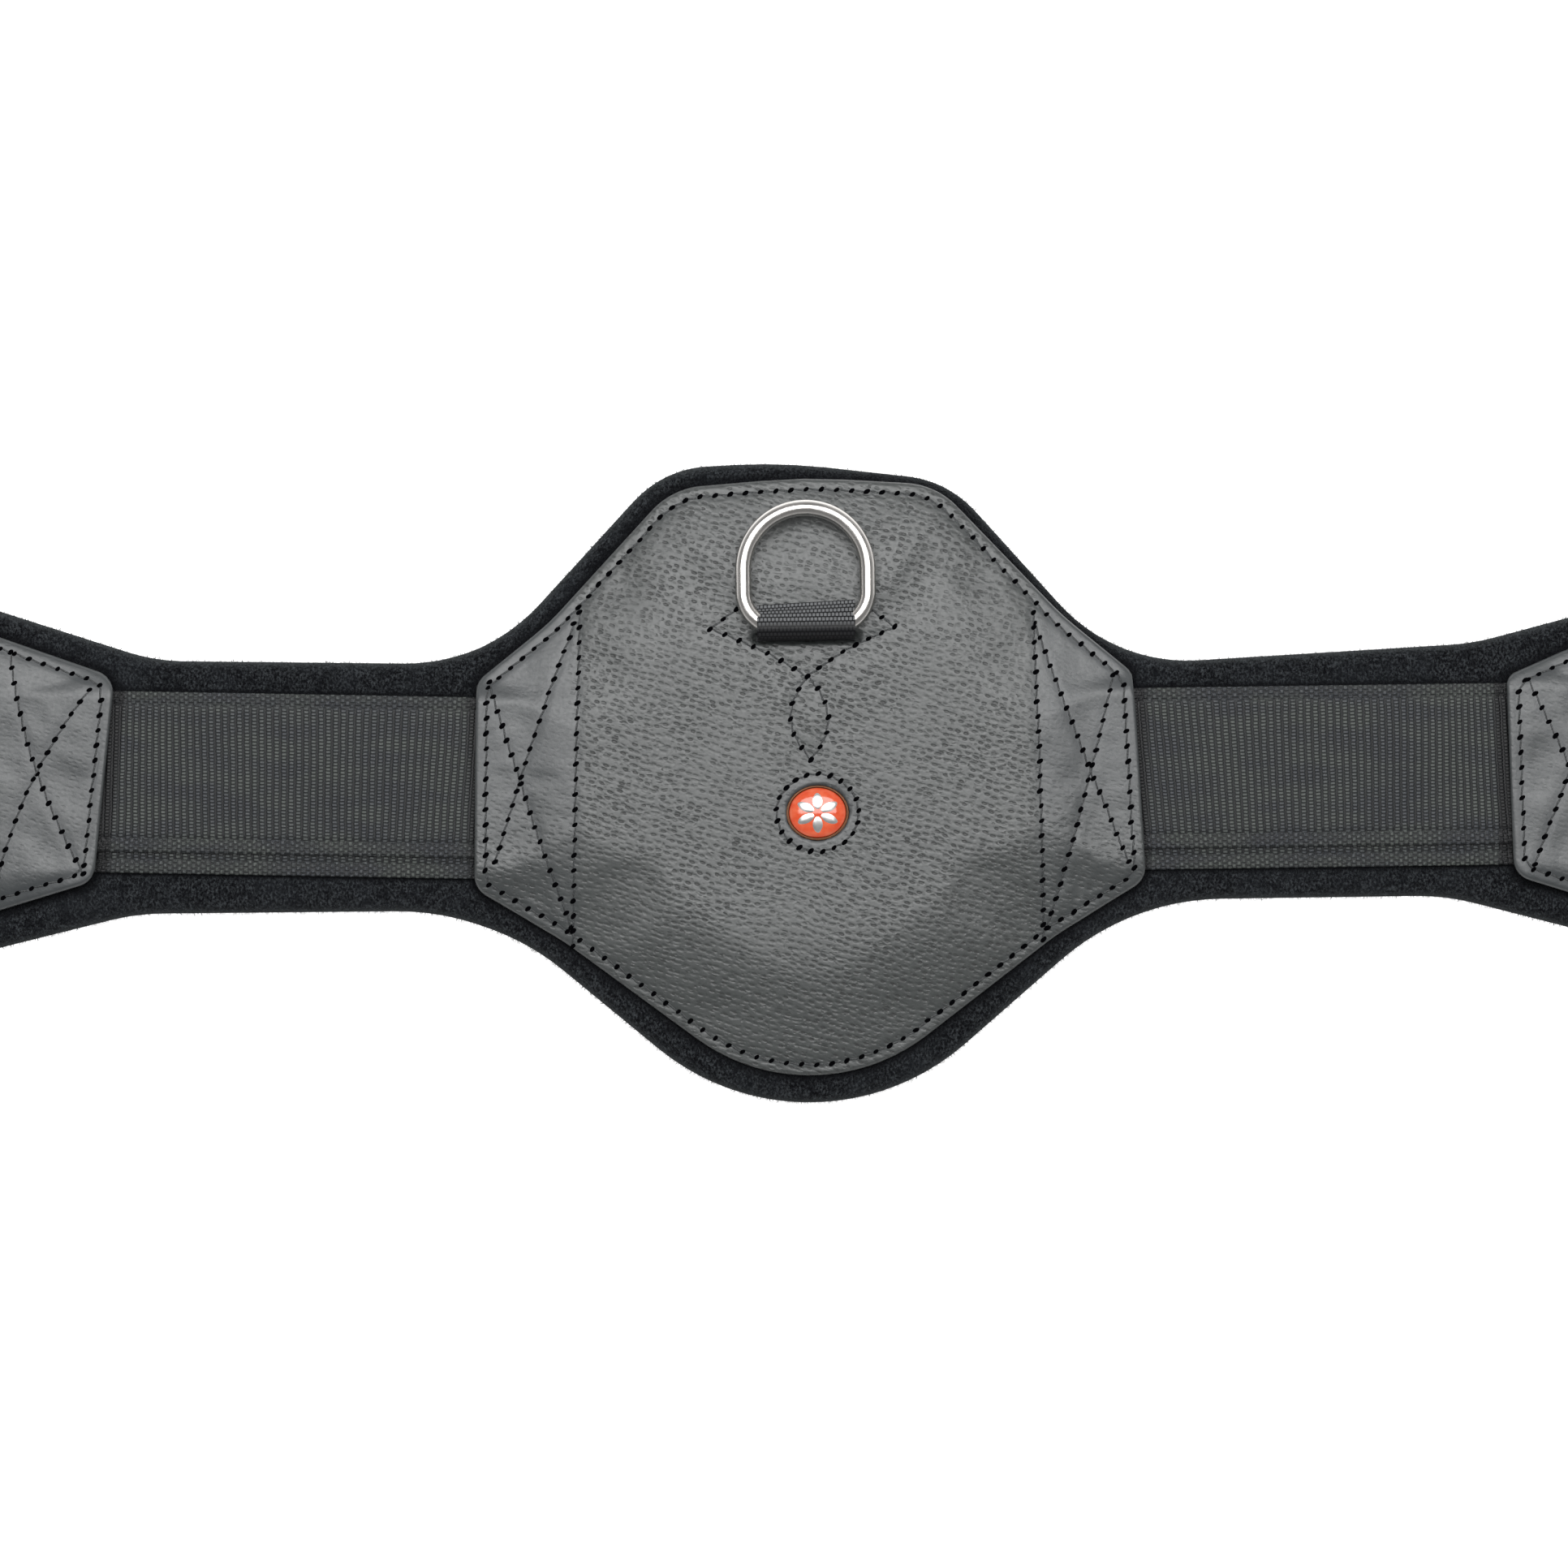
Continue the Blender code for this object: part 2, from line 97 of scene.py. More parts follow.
SLIT_Y = 38.0
LEATHER = 1.8
STITCH = 3.95
BADGE_STITCH = 3.1
STITCH_INSET = 2.9

# Plan outlines as (x, y, corner radius)
FELT = [
    (0, -102.6, 62), (83.5, -31.6, 65), (166, -31.6, 60), (256, -56, 70), (372, -56, 20),
    (372, 56, 20), (260, 56, 70), (174, 34.2, 60), (80.6, 29.8, 45), (37.6, 78.6, 28),
    (-6, 84.0, 150), (-36.6, 82.8, 28), (-84.0, 32.4, 50), (-170, 31.8, 50), (-250, 56, 70),
    (-372, 56, 20), (-372, -56, 20), (-257, -56, 70), (-176, -34.4, 60), (-83.5, -31.9, 65),
]
CENTRE_PANEL = [
    (0, -88.6, 50), (64, -40.4, 60), (87.5, -26.2, 6), (85.0, 27.7, 5), (67, 42.7, 60),
    (34.4, 77.4, 20), (0, 79.8, 150), (-34.4, 77.4, 20), (-67, 42.7, 60), (-86.1, 27.7, 6),
    (-87.2, -26.2, 6), (-64, -40.4, 60),
]
# The left one was cut a little askew.
WING_PANEL = {
    "left": [
        (186, -26, 6), (250, -46.6, 50), (288, -48, 8), (288, 48, 8), (242, 47.8, 50),
        (179.8, 27.2, 6),
    ],
    "right": [
        (183.0, -26.4, 6), (250, -48, 50), (288, -48, 8), (288, 48, 8), (242, 47.6, 50),
        (197, 31.8, 30), (181.8, 25.4, 4),
    ],
}


# ---------------------------------------------------------------- materials


class Look:
    """A Principled material, with short names for the nodes that its pattern is built from."""

    def __init__(self, name, **shader_values):
        self.material = bpy.data.materials.new(name)
        self.material.use_nodes = True
        self.tree = self.material.node_tree
        self.shader = self.tree.nodes["Principled BSDF"]
        self.finish(**shader_values)

    def finish(self, **values):
        for socket, value in values.items():
            self.feed(self.shader.inputs[socket.replace("_", " ")], value)
        return self.material

    def node(self, kind, inputs=None, **settings):
        made = self.tree.nodes.new("ShaderNode" + kind)
        for key, value in settings.items():
            setattr(made, key, value)
        for key, value in (inputs or {}).items():
            self.feed(made.inputs[key], value)
        return made

    def feed(self, socket, value):
        if isinstance(value, bpy.types.NodeSocket):
            self.tree.links.new(value, socket)
        else:
            socket.default_value = value

    def rest(self):
        """The rest place of each point, in millimetres."""
        return self.node("Attribute", attribute_name="rest").outputs["Vector"]

    def place(self):
        """The place of each point in its own object, in metres."""
        return self.node("TexCoord").outputs["Object"]

    def attribute(self, name):
        return self.node("Attribute", attribute_name=name).outputs["Fac"]

    def math(self, operation, a, b=0.0):
        return self.node("Math", {0: a, 1: b}, operation=operation).outputs[0]

    def times(self, a, b):
        return self.math("MULTIPLY", a, b)

    def plus(self, a, b):
        return self.math("ADD", a, b)

    def rest_of(self, share):
        return self.math("SUBTRACT", 1.0, share)

    def humps(self, turns):
        """One rounded hump for each whole turn, from 0 up to 1 and back."""
        return self.math("ABSOLUTE", self.math("SINE", self.times(turns, math.pi)))

    def vector_math(self, operation, a, b=(0, 0, 0), output="Vector"):
        return self.node("VectorMath", {0: a, 1: b}, operation=operation).outputs[output]

    def scaled(self, vector, factors):
        return self.vector_math("MULTIPLY", vector, factors)

    def noise(self, vector, scale, detail=2.0, roughness=0.5, output="Fac"):
        inputs = {"Vector": vector, "Scale": scale, "Detail": detail, "Roughness": roughness}
        return self.node("TexNoise", inputs).outputs[output]

    def dashes(self, vector, cell, half, randomness):
        """One short dash in each cell, lying along X, and the wider valley that it lies in."""
        place = self.scaled(vector, (1 / cell[0], 1 / cell[1], 0.0))
        inputs = {"Vector": place, "Scale": 1.0, "Randomness": randomness}
        cells = self.node("TexVoronoi", inputs, feature="F1").outputs
        away = self.vector_math("SUBTRACT", cells["Position"], place)
        away = self.scaled(away, (cell[0] / half[0], cell[1] / half[1], 0.0))
        far = self.vector_math("LENGTH", away, output="Value")
        red = self.node("SeparateColor", {0: cells["Color"]}).outputs[0]
        weight = self.ramp(red, 0.0, 0.8, 0.25, 1.0)
        return self.times(self.ramp(far, 1.0, 0.45), weight), self.ramp(far, 1.9, 0.5)

    def ramp(self, value, low, high, to_low=0.0, to_high=1.0):
        inputs = {"Value": value, "From Min": low, "From Max": high, "To Min": to_low, "To Max": to_high}
        return self.node("MapRange", inputs, interpolation_type="SMOOTHSTEP").outputs["Result"]

    def mix(self, share, a, b):
        made = self.node("Mix", {"Factor": share}, data_type="RGBA")
        for socket, colour in (("A", a), ("B", b)):
            self.feed(made.inputs[socket], (*colour, 1) if isinstance(colour, tuple) else colour)
        return made.outputs["Result"]

    def bump(self, height, distance, **before):
        """A bump whose height of 1 stands distance millimetres high, over the Normal before it."""
        inputs = {"Height": height, "Distance": distance * MM, "Strength": 1.0, **before}
        return self.node("Bump", inputs).outputs["Normal"]


def leather_look():
    """Satin pebbled leather with rows of short creases, painted dark as shade, smoother where "smooth" is
    1.
    """
    look = Look("pebbled_leather", Specular_IOR_Level=1.0)
    rest = look.rest()
    wander = look.scaled(look.noise(rest, 0.07, 1, output="Color"), (2.0, 2.2, 0.0))
    wandered = look.vector_math("ADD", rest, wander)
    rows = look.node("VectorRotate", {"Vector": wandered, "Angle": 0.30}).outputs[0]
    between = look.vector_math("ADD", rows, (7.3, 4.1, 0.0))
    dash, valley = look.dashes(rows, (2.35, 1.8), (0.90, 0.38), 0.66)
    small, _ = look.dashes(between, (1.9, 1.5), (0.52, 0.32), 1.0)
    patches = look.ramp(look.noise(rest, 0.05, 3), 0.36, 0.62, 0.6, 1.0)
    depth = look.times(look.rest_of(look.attribute("smooth")), patches)
    creases = look.times(look.math("MAXIMUM", dash, look.times(small, 0.4)), depth)
    sunk = look.plus(look.times(creases, 0.7), look.times(look.times(valley, depth), 0.3))
    grit = look.noise(rest, 1.3, 3, 0.6)
    pebbles = look.bump(look.rest_of(sunk), 0.19)
    body = look.mix(look.noise(rest, 0.035, 2), (0.033, 0.038, 0.037), (0.040, 0.045, 0.044))
    body = look.mix(look.attribute("smooth"), body, (0.030, 0.035, 0.038))
    # Painted shade: the creases are darkened almost to black.
    body = look.mix(look.times(creases, 0.85), body, (0.002, 0.002, 0.002))
    return look.finish(
        # Painted highlight: the leather is lighter along its edge, where "rim" is 1.
        Base_Color=look.mix(look.attribute("rim"), body, (0.050, 0.054, 0.055)),
        Roughness=look.plus(look.ramp(grit, 0.3, 0.7, 0.42, 0.50), look.times(creases, 0.12)),
        Normal=look.bump(grit, 0.05, Normal=pebbles),
    )


def felt_look():
    """Thick black felt with a short, lying nap, darker where "shade" is 1."""
    look = Look(
        "black_felt", Roughness=1.0, Specular_IOR_Level=0.08, Sheen_Weight=0.10,
        Sheen_Roughness=0.5, Sheen_Tint=(0.55, 0.6, 0.64, 1),
    )
    rest = look.rest()
    clumps = look.noise(rest, 0.55, 3, 0.65)
    hairs = look.noise(look.scaled(rest, (1.7, 1.2, 1.7)), 1.0, 3, 0.7)
    black = 0.001, 0.001, 0.002
    colour = look.mix(look.ramp(hairs, 0.40, 0.66), black, (0.052, 0.058, 0.063))
    for share, tone in (
        (look.ramp(clumps, 0.42, 0.66, 0.0, 0.75), black),
        (look.ramp(look.noise(rest, 0.07, 2), 0.42, 0.7, 0.0, 0.22), (0.026, 0.030, 0.035)),
        # Painted highlight: the felt is lighter along its rim, as a lit edge.
        (look.attribute("rim"), (0.036, 0.040, 0.041)),
        (look.attribute("shade"), (0.002, 0.002, 0.003)),
    ):
        colour = look.mix(share, colour, tone)
    return look.finish(Base_Color=colour, Normal=look.bump(hairs, 0.7, Normal=look.bump(clumps, 1.3)))


def web_look():
    """Ribbed webbing. "rib" counts ribs along it, "pick" yarns over it, and "edge" is 1 on a selvage."""
    look = Look("woven_web", Roughness=0.5, Specular_IOR_Level=0.35)
    rest, pick, edge = look.rest(), look.attribute("pick"), look.attribute("edge")
    wobble = look.times(look.noise(rest, 0.5, 2), 0.25)
    rib = look.plus(look.attribute("rib"), wobble)
    staggered = look.plus(look.plus(pick, look.times(look.math("FLOOR", rib), 0.5)), wobble)
    yarns = look.ramp(look.humps(staggered), 0.1, 0.75, 0.06, 1.0)
    ribbed = look.times(look.ramp(look.humps(rib), 0.22, 0.85), yarns)
    line = look.times(rib, 1.5)
    turned = look.plus(look.times(pick, 0.62), look.times(look.math("FLOOR", line), 0.5))
    lines = look.ramp(look.humps(line), 0.1, 0.8, 0.25, 1.1)
    dots = look.ramp(look.humps(turned), 0.1, 0.8, 0.05, 1.0)
    specks = look.ramp(look.noise(rest, 1.0, 2), 0.38, 0.58, 0.45, 1.1)
    twill = look.times(look.times(lines, dots), specks)
    pattern = look.plus(look.times(ribbed, look.rest_of(edge)), look.times(twill, edge))
    wide = look.noise(look.scaled(rest, (0.05, 0.16, 0.0)), 1.0, 2)
    grit = look.ramp(look.noise(rest, 2.8, 2), 0.50, 0.75, 0.0, 0.6)
    body = look.mix(look.ramp(wide, 0.35, 0.65), (0.044, 0.048, 0.055), (0.070, 0.078, 0.072))
    body = look.mix(grit, body, (0.125, 0.133, 0.130))
    colour = look.mix(pattern, (0.004, 0.005, 0.006), body)
    colour = look.mix(look.attribute("shade"), colour, (0.003, 0.003, 0.004))
    return look.finish(Base_Color=colour, Normal=look.bump(pattern, 0.22))


def tape_look(name, bright, dark, row, dot, rough):
    """Ribbed tape. "along" runs with it and "across" over it, in millimetres. Where "slit_shade" is 1,
    painted shade hides its ribs.
    """
    look = Look(name, Specular_IOR_Level=0.25)
    rows = look.times(look.attribute("along"), 1 / row)
    shift = look.times(look.math("FLOOR", rows), 0.5)
    dots = look.humps(look.plus(look.times(look.attribute("across"), 1 / dot), shift))
    height = look.times(look.ramp(look.humps(rows), 0.1, 0.8), look.ramp(dots, 0.1, 0.8, 0.05, 1.0))
    grit = look.noise(look.rest(), 2.5, 2)
    share = look.times(height, look.ramp(grit, 0.25, 0.7, 0.6, 1.0))
    # Painted shade: the dark colour covers the ribs where the tape turns down into the slit.
    share = look.times(share, look.rest_of(look.attribute("slit_shade")))
    return look.finish(
        Base_Color=look.mix(share, dark, bright),
        Roughness=look.ramp(grit, 0.3, 0.7, rough, rough + 0.12),
        Normal=look.bump(height, 0.045),
    )


def thread_look():
    look = Look("stitch_thread", Roughness=0.5, Specular_IOR_Level=0.5)
    twist = look.noise(look.rest(), 2.6, 1)
    colour = look.mix(look.ramp(twist, 0.4, 0.7), (0.024, 0.026, 0.027), (0.075, 0.080, 0.082))
    return look.finish(Base_Color=colour, Normal=look.bump(twist, 0.10))


def hole_look():
    # Painted shade: near-black, for the shade inside a needle hole.
    look = Look("needle_hole", Roughness=1.0, Specular_IOR_Level=0.0)
    spot = look.noise(look.rest(), 2.0, 1)
    return look.finish(Base_Color=look.mix(spot, (0.0005, 0.0005, 0.0005), (0.003, 0.003, 0.004)))


def metal_look(name, bright, dark, low_rough, high_rough):
    """Plated metal with faint polishing marks."""
    look = Look(name, Metallic=1.0)
    streaks = look.noise(look.scaled(look.place(), (900, 2600, 2600)), 1.0, 3, 0.6)
    cloudy = look.noise(look.place(), 160.0, 2)
    return look.finish(
        Base_Color=look.mix(cloudy, dark, bright),
        Roughness=look.plus(look.ramp(cloudy, 0.3, 0.7, low_rough, high_rough), look.times(streaks, 0.06)),
        Normal=look.bump(streaks, 0.012),
    )


def resin_look():
    """Orange enamel under a clear dome."""
    look = Look(
        "orange_resin", Roughness=0.14, Specular_IOR_Level=0.5, Coat_Weight=0.6, Coat_Roughness=0.04
    )
    swirl = look.noise(look.scaled(look.rest(), (1.0, 1.4, 1.0)), 0.35, 3)
    colour = look.mix(look.ramp(swirl, 0.3, 0.7), (0.72, 0.070, 0.018), (0.80, 0.15, 0.065))
    return look.finish(Base_Color=colour)


def plain_look(name, low, high, roughness, scale, bump):
    look = Look(name, Roughness=roughness, Specular_IOR_Level=0.3)
    grain = look.noise(look.place(), scale, 3)
    return look.finish(Base_Color=look.mix(grain, low, high), Normal=look.bump(grain, bump))


# ---------------------------------------------------------------- outlines and grids

ARC_STEP = math.radians(4)


def outline(corners, inset=0.0):
    """Points round a rounded polygon whose corners run anticlockwise, moved inwards by inset."""
    points = []
    for i, (x, y, radius) in enumerate(corners):
        before, after = corners[i - 1], corners[(i + 1) % len(corners)]
        ax, ay = x - before[0], y - before[1]
        bx, by = after[0] - x, after[1] - y
        a_len, b_len = math.hypot(ax, ay), math.hypot(bx, by)
        ax, ay, bx, by = ax / a_len, ay / a_len, bx / b_len, by / b_len
        turn = math.atan2(ax * by - ay * bx, ax * bx + ay * by)
        reach = inset / (1 + math.cos(turn))
        x, y = x - (ay + by) * reach, y + (ax + bx) * reach
        side = math.copysign(1, turn)
        radius = max(radius - inset * side, 0.3)
        tangent = radius * math.tan(abs(turn) / 2)
        start = (x - ax * tangent, y - ay * tangent)
        centre = (start[0] - ay * radius * side, start[1] + ax * radius * side)
        steps = max(2, math.ceil(abs(turn) / ARC_STEP))
        dx, dy = start[0] - centre[0], start[1] - centre[1]
        for k in range(steps + 1):
            c, s = math.cos(turn * k / steps), math.sin(turn * k / steps)
            points.append((centre[0] + dx * c - dy * s, centre[1] + dx * s + dy * c))
    return np.array(points)


def distance_to_lines(x, y, lines):
    """How far each point is from the nearest of these polylines, each an array of points."""
    starts = np.concatenate([line[:-1] for line in lines])
    ends = np.concatenate([line[1:] for line in lines])
    along = ends - starts
    lengths = np.maximum((along**2).sum(1), 1e-12)
    flat = np.stack([x.ravel(), y.ravel()], 1)
    best = np.full(len(flat), np.inf)
    for start, way, length in zip(starts, along, lengths):
        gone = flat - start
        share = np.clip(gone @ way / length, 0, 1)
        best = np.minimum(best, ((gone - share[:, None] * way) ** 2).sum(1))
    return np.sqrt(best).reshape(x.shape)


def closed_line(points):
    return np.vstack([points, points[:1]])


def smooth_step(low, high, value):
    share = np.clip((value - low) / (high - low), 0, 1)
    return share * share * (3 - 2 * share)


RIM_STEPS = (0, 0.12, 0.35, 0.7, 1.2, 1.9, 2.7)


def spread(length, count):
    """Shares from 0 to 1: fine steps at both rims, and count even steps between them."""
    scale = min(1, length / (4 * RIM_STEPS[-1]))
    rim = np.array(RIM_STEPS) * scale / length
    middle = np.linspace(rim[-1], 1 - rim[-1], count + 1)
    return np.concatenate([rim[:-1], middle, 1 - rim[-2::-1]])


def plan_grid(edge, x_low, x_high, spacing, rims=(True, True)):
    """Columns of points that fill an outline between two places in x."""
    xs = x_low + (x_high - x_low) * spread(x_high - x_low, math.ceil((x_high - x_low) / spacing))
    inner = len(RIM_STEPS) - 1
    if not rims[0]:
        xs = np.delete(xs, range(1, inner))
    if not rims[1]:
        xs = np.delete(xs, range(len(xs) - inner, len(xs) - 1))
    after = np.roll(edge, -1, 0)
    lows, highs = [], []
    for x in xs:
        crossed = (edge[:, 0] - x) * (after[:, 0] - x) <= 1e-9
        a, b = edge[crossed], after[crossed]
        wide = np.where(np.abs(b[:, 0] - a[:, 0]) < 1e-9, 1, b[:, 0] - a[:, 0])
        share = np.clip((x - a[:, 0]) / wide, 0, 1)
        level = a[:, 1] + share * (b[:, 1] - a[:, 1])
        upright = np.abs(b[:, 0] - a[:, 0]) < 1e-9
        level = np.concatenate([level, b[upright, 1]])
        lows.append(level.min())
        highs.append(level.max())
    heights = np.array(highs) - np.array(lows)
    rows = math.ceil(heights.max() / spacing)
    shares = np.array([spread(max(h, 0.5), rows) for h in heights])
    y = np.array(lows)[:, None] + shares * heights[:, None]
    x = np.repeat(xs[:, None], y.shape[1], 1)
    return x, y


SKEW = 0.0314
SKEW_START, SKEW_MOST, SKEW_END = 85, 215, 300


def lie(points):
    """The left end lies a little askew: it leans forward as far as its patch, then comes back in line."""
    out = np.clip(-points[:, 0] - SKEW_START, 0, SKEW_MOST - SKEW_START)
    laid = points.copy()
    laid[:, 1] += SKEW * out * smooth_step(SKEW_END, SKEW_MOST, -points[:, 0])
    return laid


def add_object(name, data):
    made = bpy.data.objects.new(name, data)
    bpy.context.scene.collection.objects.link(made)
    return made


def piece_from(name, points, faces, look, values=None, sharp=None):
    """A mesh piece from points in millimetres, with their rest places and other values kept on it."""
    mesh = bpy.data.meshes.new(name)
    points = np.asarray(points, float)
    mesh.from_pydata((lie(points) * MM).tolist(), [], faces)
    stored = mesh.attributes.new("rest", "FLOAT_VECTOR", "POINT")
    stored.data.foreach_set("vector", points.astype(np.float32).ravel())
    for key, value in (values or {}).items():
        layer = mesh.attributes.new(key, "FLOAT", "POINT")
        layer.data.foreach_set("value", np.asarray(value, np.float32).ravel())
    if look is not None:
        mesh.materials.append(look)
    mesh.shade_smooth()
    if sharp is not None:
        mesh.set_sharp_from_angle(angle=math.radians(sharp))
    mesh.update()
    return add_object(name, mesh)


def grid_faces(index, flip=False):
    """Faces over a grid of point numbers."""
    a, b, c, d = index[:-1, :-1], index[1:, :-1], index[1:, 1:], index[:-1, 1:]
    order = (a, d, c, b) if flip else (a, b, c, d)
    return np.stack([part.ravel() for part in order], 1).tolist()


def ring_faces(rings, sides, first=0, ends="caps", flip=False):
    """Faces over rings of points. The ends are "caps", a "point" before the first ring, or a "loop"."""
    faces = []
    for k in range(rings if ends == "loop" else rings - 1):
        a, b = first + k * sides, first + (k + 1) % rings * sides
        faces += [(a + i, b + i, b + (i + 1) % sides, a + (i + 1) % sides) for i in range(sides)]
    if ends == "caps":
        faces.append(tuple(first + i for i in range(sides)))
    if ends == "point":
        faces += [(first - 1, first + i, first + (i + 1) % sides) for i in range(sides)]
    if ends != "loop":
        last = first + (rings - 1) * sides
        faces.append(tuple(last + i for i in reversed(range(sides))))
    return [face[::-1] for face in faces] if flip else faces


def pillow(name, x, y, top, bottom, look, values=None, open_ends=(False, False), sharp=None):
    """A closed piece between two height fields, which share their rim."""
    shared = np.zeros(x.shape, bool)
    shared[:, [0, -1]] = True
    shared[0, :] |= not open_ends[0]
    shared[-1, :] |= not open_ends[1]
    upper = np.arange(x.size).reshape(x.shape)
    lower = upper.copy()
    lower[~shared] = x.size + np.arange((~shared).sum())
    points = np.concatenate([
        np.stack([x.ravel(), y.ravel(), top.ravel()], 1),
        np.stack([x[~shared], y[~shared], bottom[~shared]], 1),
    ])
    flip = x[-1, 0] < x[0, 0]
    faces = grid_faces(upper, flip) + grid_faces(lower, not flip)
    for column, is_open, turned in ((0, open_ends[0], flip), (-1, open_ends[1], not flip)):
        if is_open:
            cap = grid_faces(np.stack([upper[column], lower[column]]), turned)
            faces += [face for face in (list(dict.fromkeys(f)) for f in cap) if len(face) > 2]
    stored = {}
    for key, value in (values or {}).items():
        stored[key] = np.concatenate([value.ravel(), value[~shared]])
    return piece_from(name, points, faces, look, stored, sharp)


def settle(piece, body, slot, *replaced):
    """The piece rides on a body, and stands in for CAD nodes if it names any. slot is not used."""
    if replaced:
        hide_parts(*replaced)
    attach(piece, body)


def settle_bent(piece, side, sign, slot, *replaced):
    """The piece stands in for CAD nodes if it names any, and its place is baked into its mesh. side, sign
    and slot are not used.
    """
    if replaced:
        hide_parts(*replaced)
    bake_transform(piece)


def ripple(x, y, size, height, seed=0.0):
    """Smooth noise of this size and height over points."""
    flat = np.array([
        noise.noise(Vector((px / size, py / size, seed))) for px, py in zip(x.ravel(), y.ravel())
    ])
    return flat.reshape(x.shape) * height


# ---------------------------------------------------------------- stitching


def arc_points(centre, half, first, last, count):
    angles = np.radians(np.linspace(first, last, count))
    return np.stack([centre[0] + half[0] * np.cos(angles), centre[1] + half[1] * np.sin(angles)], 1)


def bow(start, end, sag, count):
    """Points from start to end that bow sideways by sag in the middle."""
    start, end = np.array(start, float), np.array(end, float)
    way = end - start
    side = np.array([-way[1], way[0]]) / np.hypot(*way)
    share = np.linspace(0, 1, count)[:, None]
    return start + way * share + side * sag * 4 * share * (1 - share)


BADGE_RING = 10.7, 10.1
# Each stitch line as its start, its end, how far it bows sideways, and its number of points
CENTRE_LINES = (
    ((-58.8, 45.4), (-61.8, -41.4), 0.0, 14),
    ((-82.6, 27.5), (-62.2, -36.5), -0.5, 14),
    ((-60.2, 42.4), (-81.6, -19.2), -0.6, 14),
    ((58.9, 43.6), (60.6, -41.4), 0.4, 14),
    ((59.4, 40.8), (83.0, -21.4), -0.5, 14),
    ((79.6, 27.0), (61.6, -38.4), 0.6, 14),
    # The arms that hold the tape meet over a drop shape.
    ((-18.0, 45.6), (-24.9, 40.3), 0.0, 4),
    ((16.4, 45.4), (23.0, 40.4), 0.0, 4),
    ((-24.9, 40.3), (0.2, 27.8), 0.9, 14),
    ((23.0, 40.4), (0.2, 27.8), -0.9, 14),
    ((0.2, 27.8), (0.9, 6.2), 4.9, 14),
    ((0.2, 27.8), (0.9, 6.2), -4.9, 14),
)
WING_LINES = (
    ((212.4, 34.2), (211.6, -32.6), 0.6, 14),
    ((270.5, 44.6), (270.5, -44.6), 0.0, 14),
)
WING_CROSS = {
    "left": (((186.4, 23.8), (211.8, -29.6), 3.4, 14), ((207.0, 33.2), (188.6, -24.0), 3.2, 14)),
    "right": (((187.4, 24.4), (211.6, -31.4), 0.6, 14), ((211.8, 33.0), (188.4, -23.6), -0.5, 14)),
}


def stitch_lines(panel, lines):
    """The stitch line just inside a panel's edge, and the lines across the panel."""
    return [closed_line(outline(panel, STITCH_INSET)), *(bow(*line) for line in lines)]


def run_lengths(line):
    """How far along a polyline each of its points lies."""
    ways = np.diff(line, axis=0)
    return np.concatenate([[0], np.cumsum(np.hypot(ways[:, 0], ways[:, 1]))])


def walk(line, pitch):
    """Evenly spaced places along a polyline, about a pitch apart, and the way along it at each."""
    lengths = run_lengths(line)
    at = np.linspace(0, lengths[-1], max(2, round(lengths[-1] / pitch)) + 1)
    places = np.stack([np.interp(at, lengths, line[:, 0]), np.interp(at, lengths, line[:, 1])], 1)
    ways = np.gradient(places, axis=0)
    return places, ways / np.maximum(np.hypot(ways[:, 0], ways[:, 1]), 1e-9)[:, None]


def tube_rings(path, radii, sides):
    """Rings of points round a path in space, for a closed tube."""
    path = np.asarray(path, float)
    ways = np.gradient(path, axis=0)
    ways /= np.linalg.norm(ways, axis=1)[:, None]
    side = np.cross(ways, (0, 0, 1))
    side /= np.linalg.norm(side, axis=1)[:, None]
    up = np.cross(side, ways)
    angles = np.linspace(0, 2 * math.pi, sides, endpoint=False)[None, :, None]
    radii = np.broadcast_to(np.asarray(radii, float), (len(path),))
    across = side[:, None] * np.cos(angles) + up[:, None] * np.sin(angles)
    return path[:, None] + across * radii[:, None, None]


def add_tube(points, faces, rings):
    """Adds one closed tube to lists of points and faces."""
    faces += ring_faces(*rings.shape[:2], len(points))
    points.extend(rings.reshape(-1, 3).tolist())


THREAD_SIDES = 6
THREAD_RADIUS, THREAD_SWELL = 0.23, 0.05
THREAD_SINK, THREAD_RISE = 0.30, 0.26  # at a hole, and from there to the stitch's middle
ZIGZAG = 0.30
STRAY = 0.07
HOLE_LEAN = math.radians(40)
HOLE_HALF = 0.92, 0.56, 0.18
HOLE_RISE = 0.12
HOLE_SIDES = 12
HOLE_LEVELS = 0.45, 0.0, -0.6


def add_lens(points, faces, centre, angle, half):
    """Adds one low closed ellipsoid: a needle hole's mouth, painted dark as the shade in it."""
    c, s = math.cos(angle), math.sin(angle)
    points.append((centre[0], centre[1], centre[2] + half[2]))
    faces += ring_faces(len(HOLE_LEVELS), HOLE_SIDES, len(points), "point")
    for level in HOLE_LEVELS:
        reach = math.sqrt(1 - level * level)
        for i in range(HOLE_SIDES):
            a = 2 * math.pi * i / HOLE_SIDES
            along, across = half[0] * reach * math.cos(a), half[1] * reach * math.sin(a)
            points.append((
                centre[0] + along * c - across * s, centre[1] + along * s + across * c,
                centre[2] + half[2] * level,
            ))


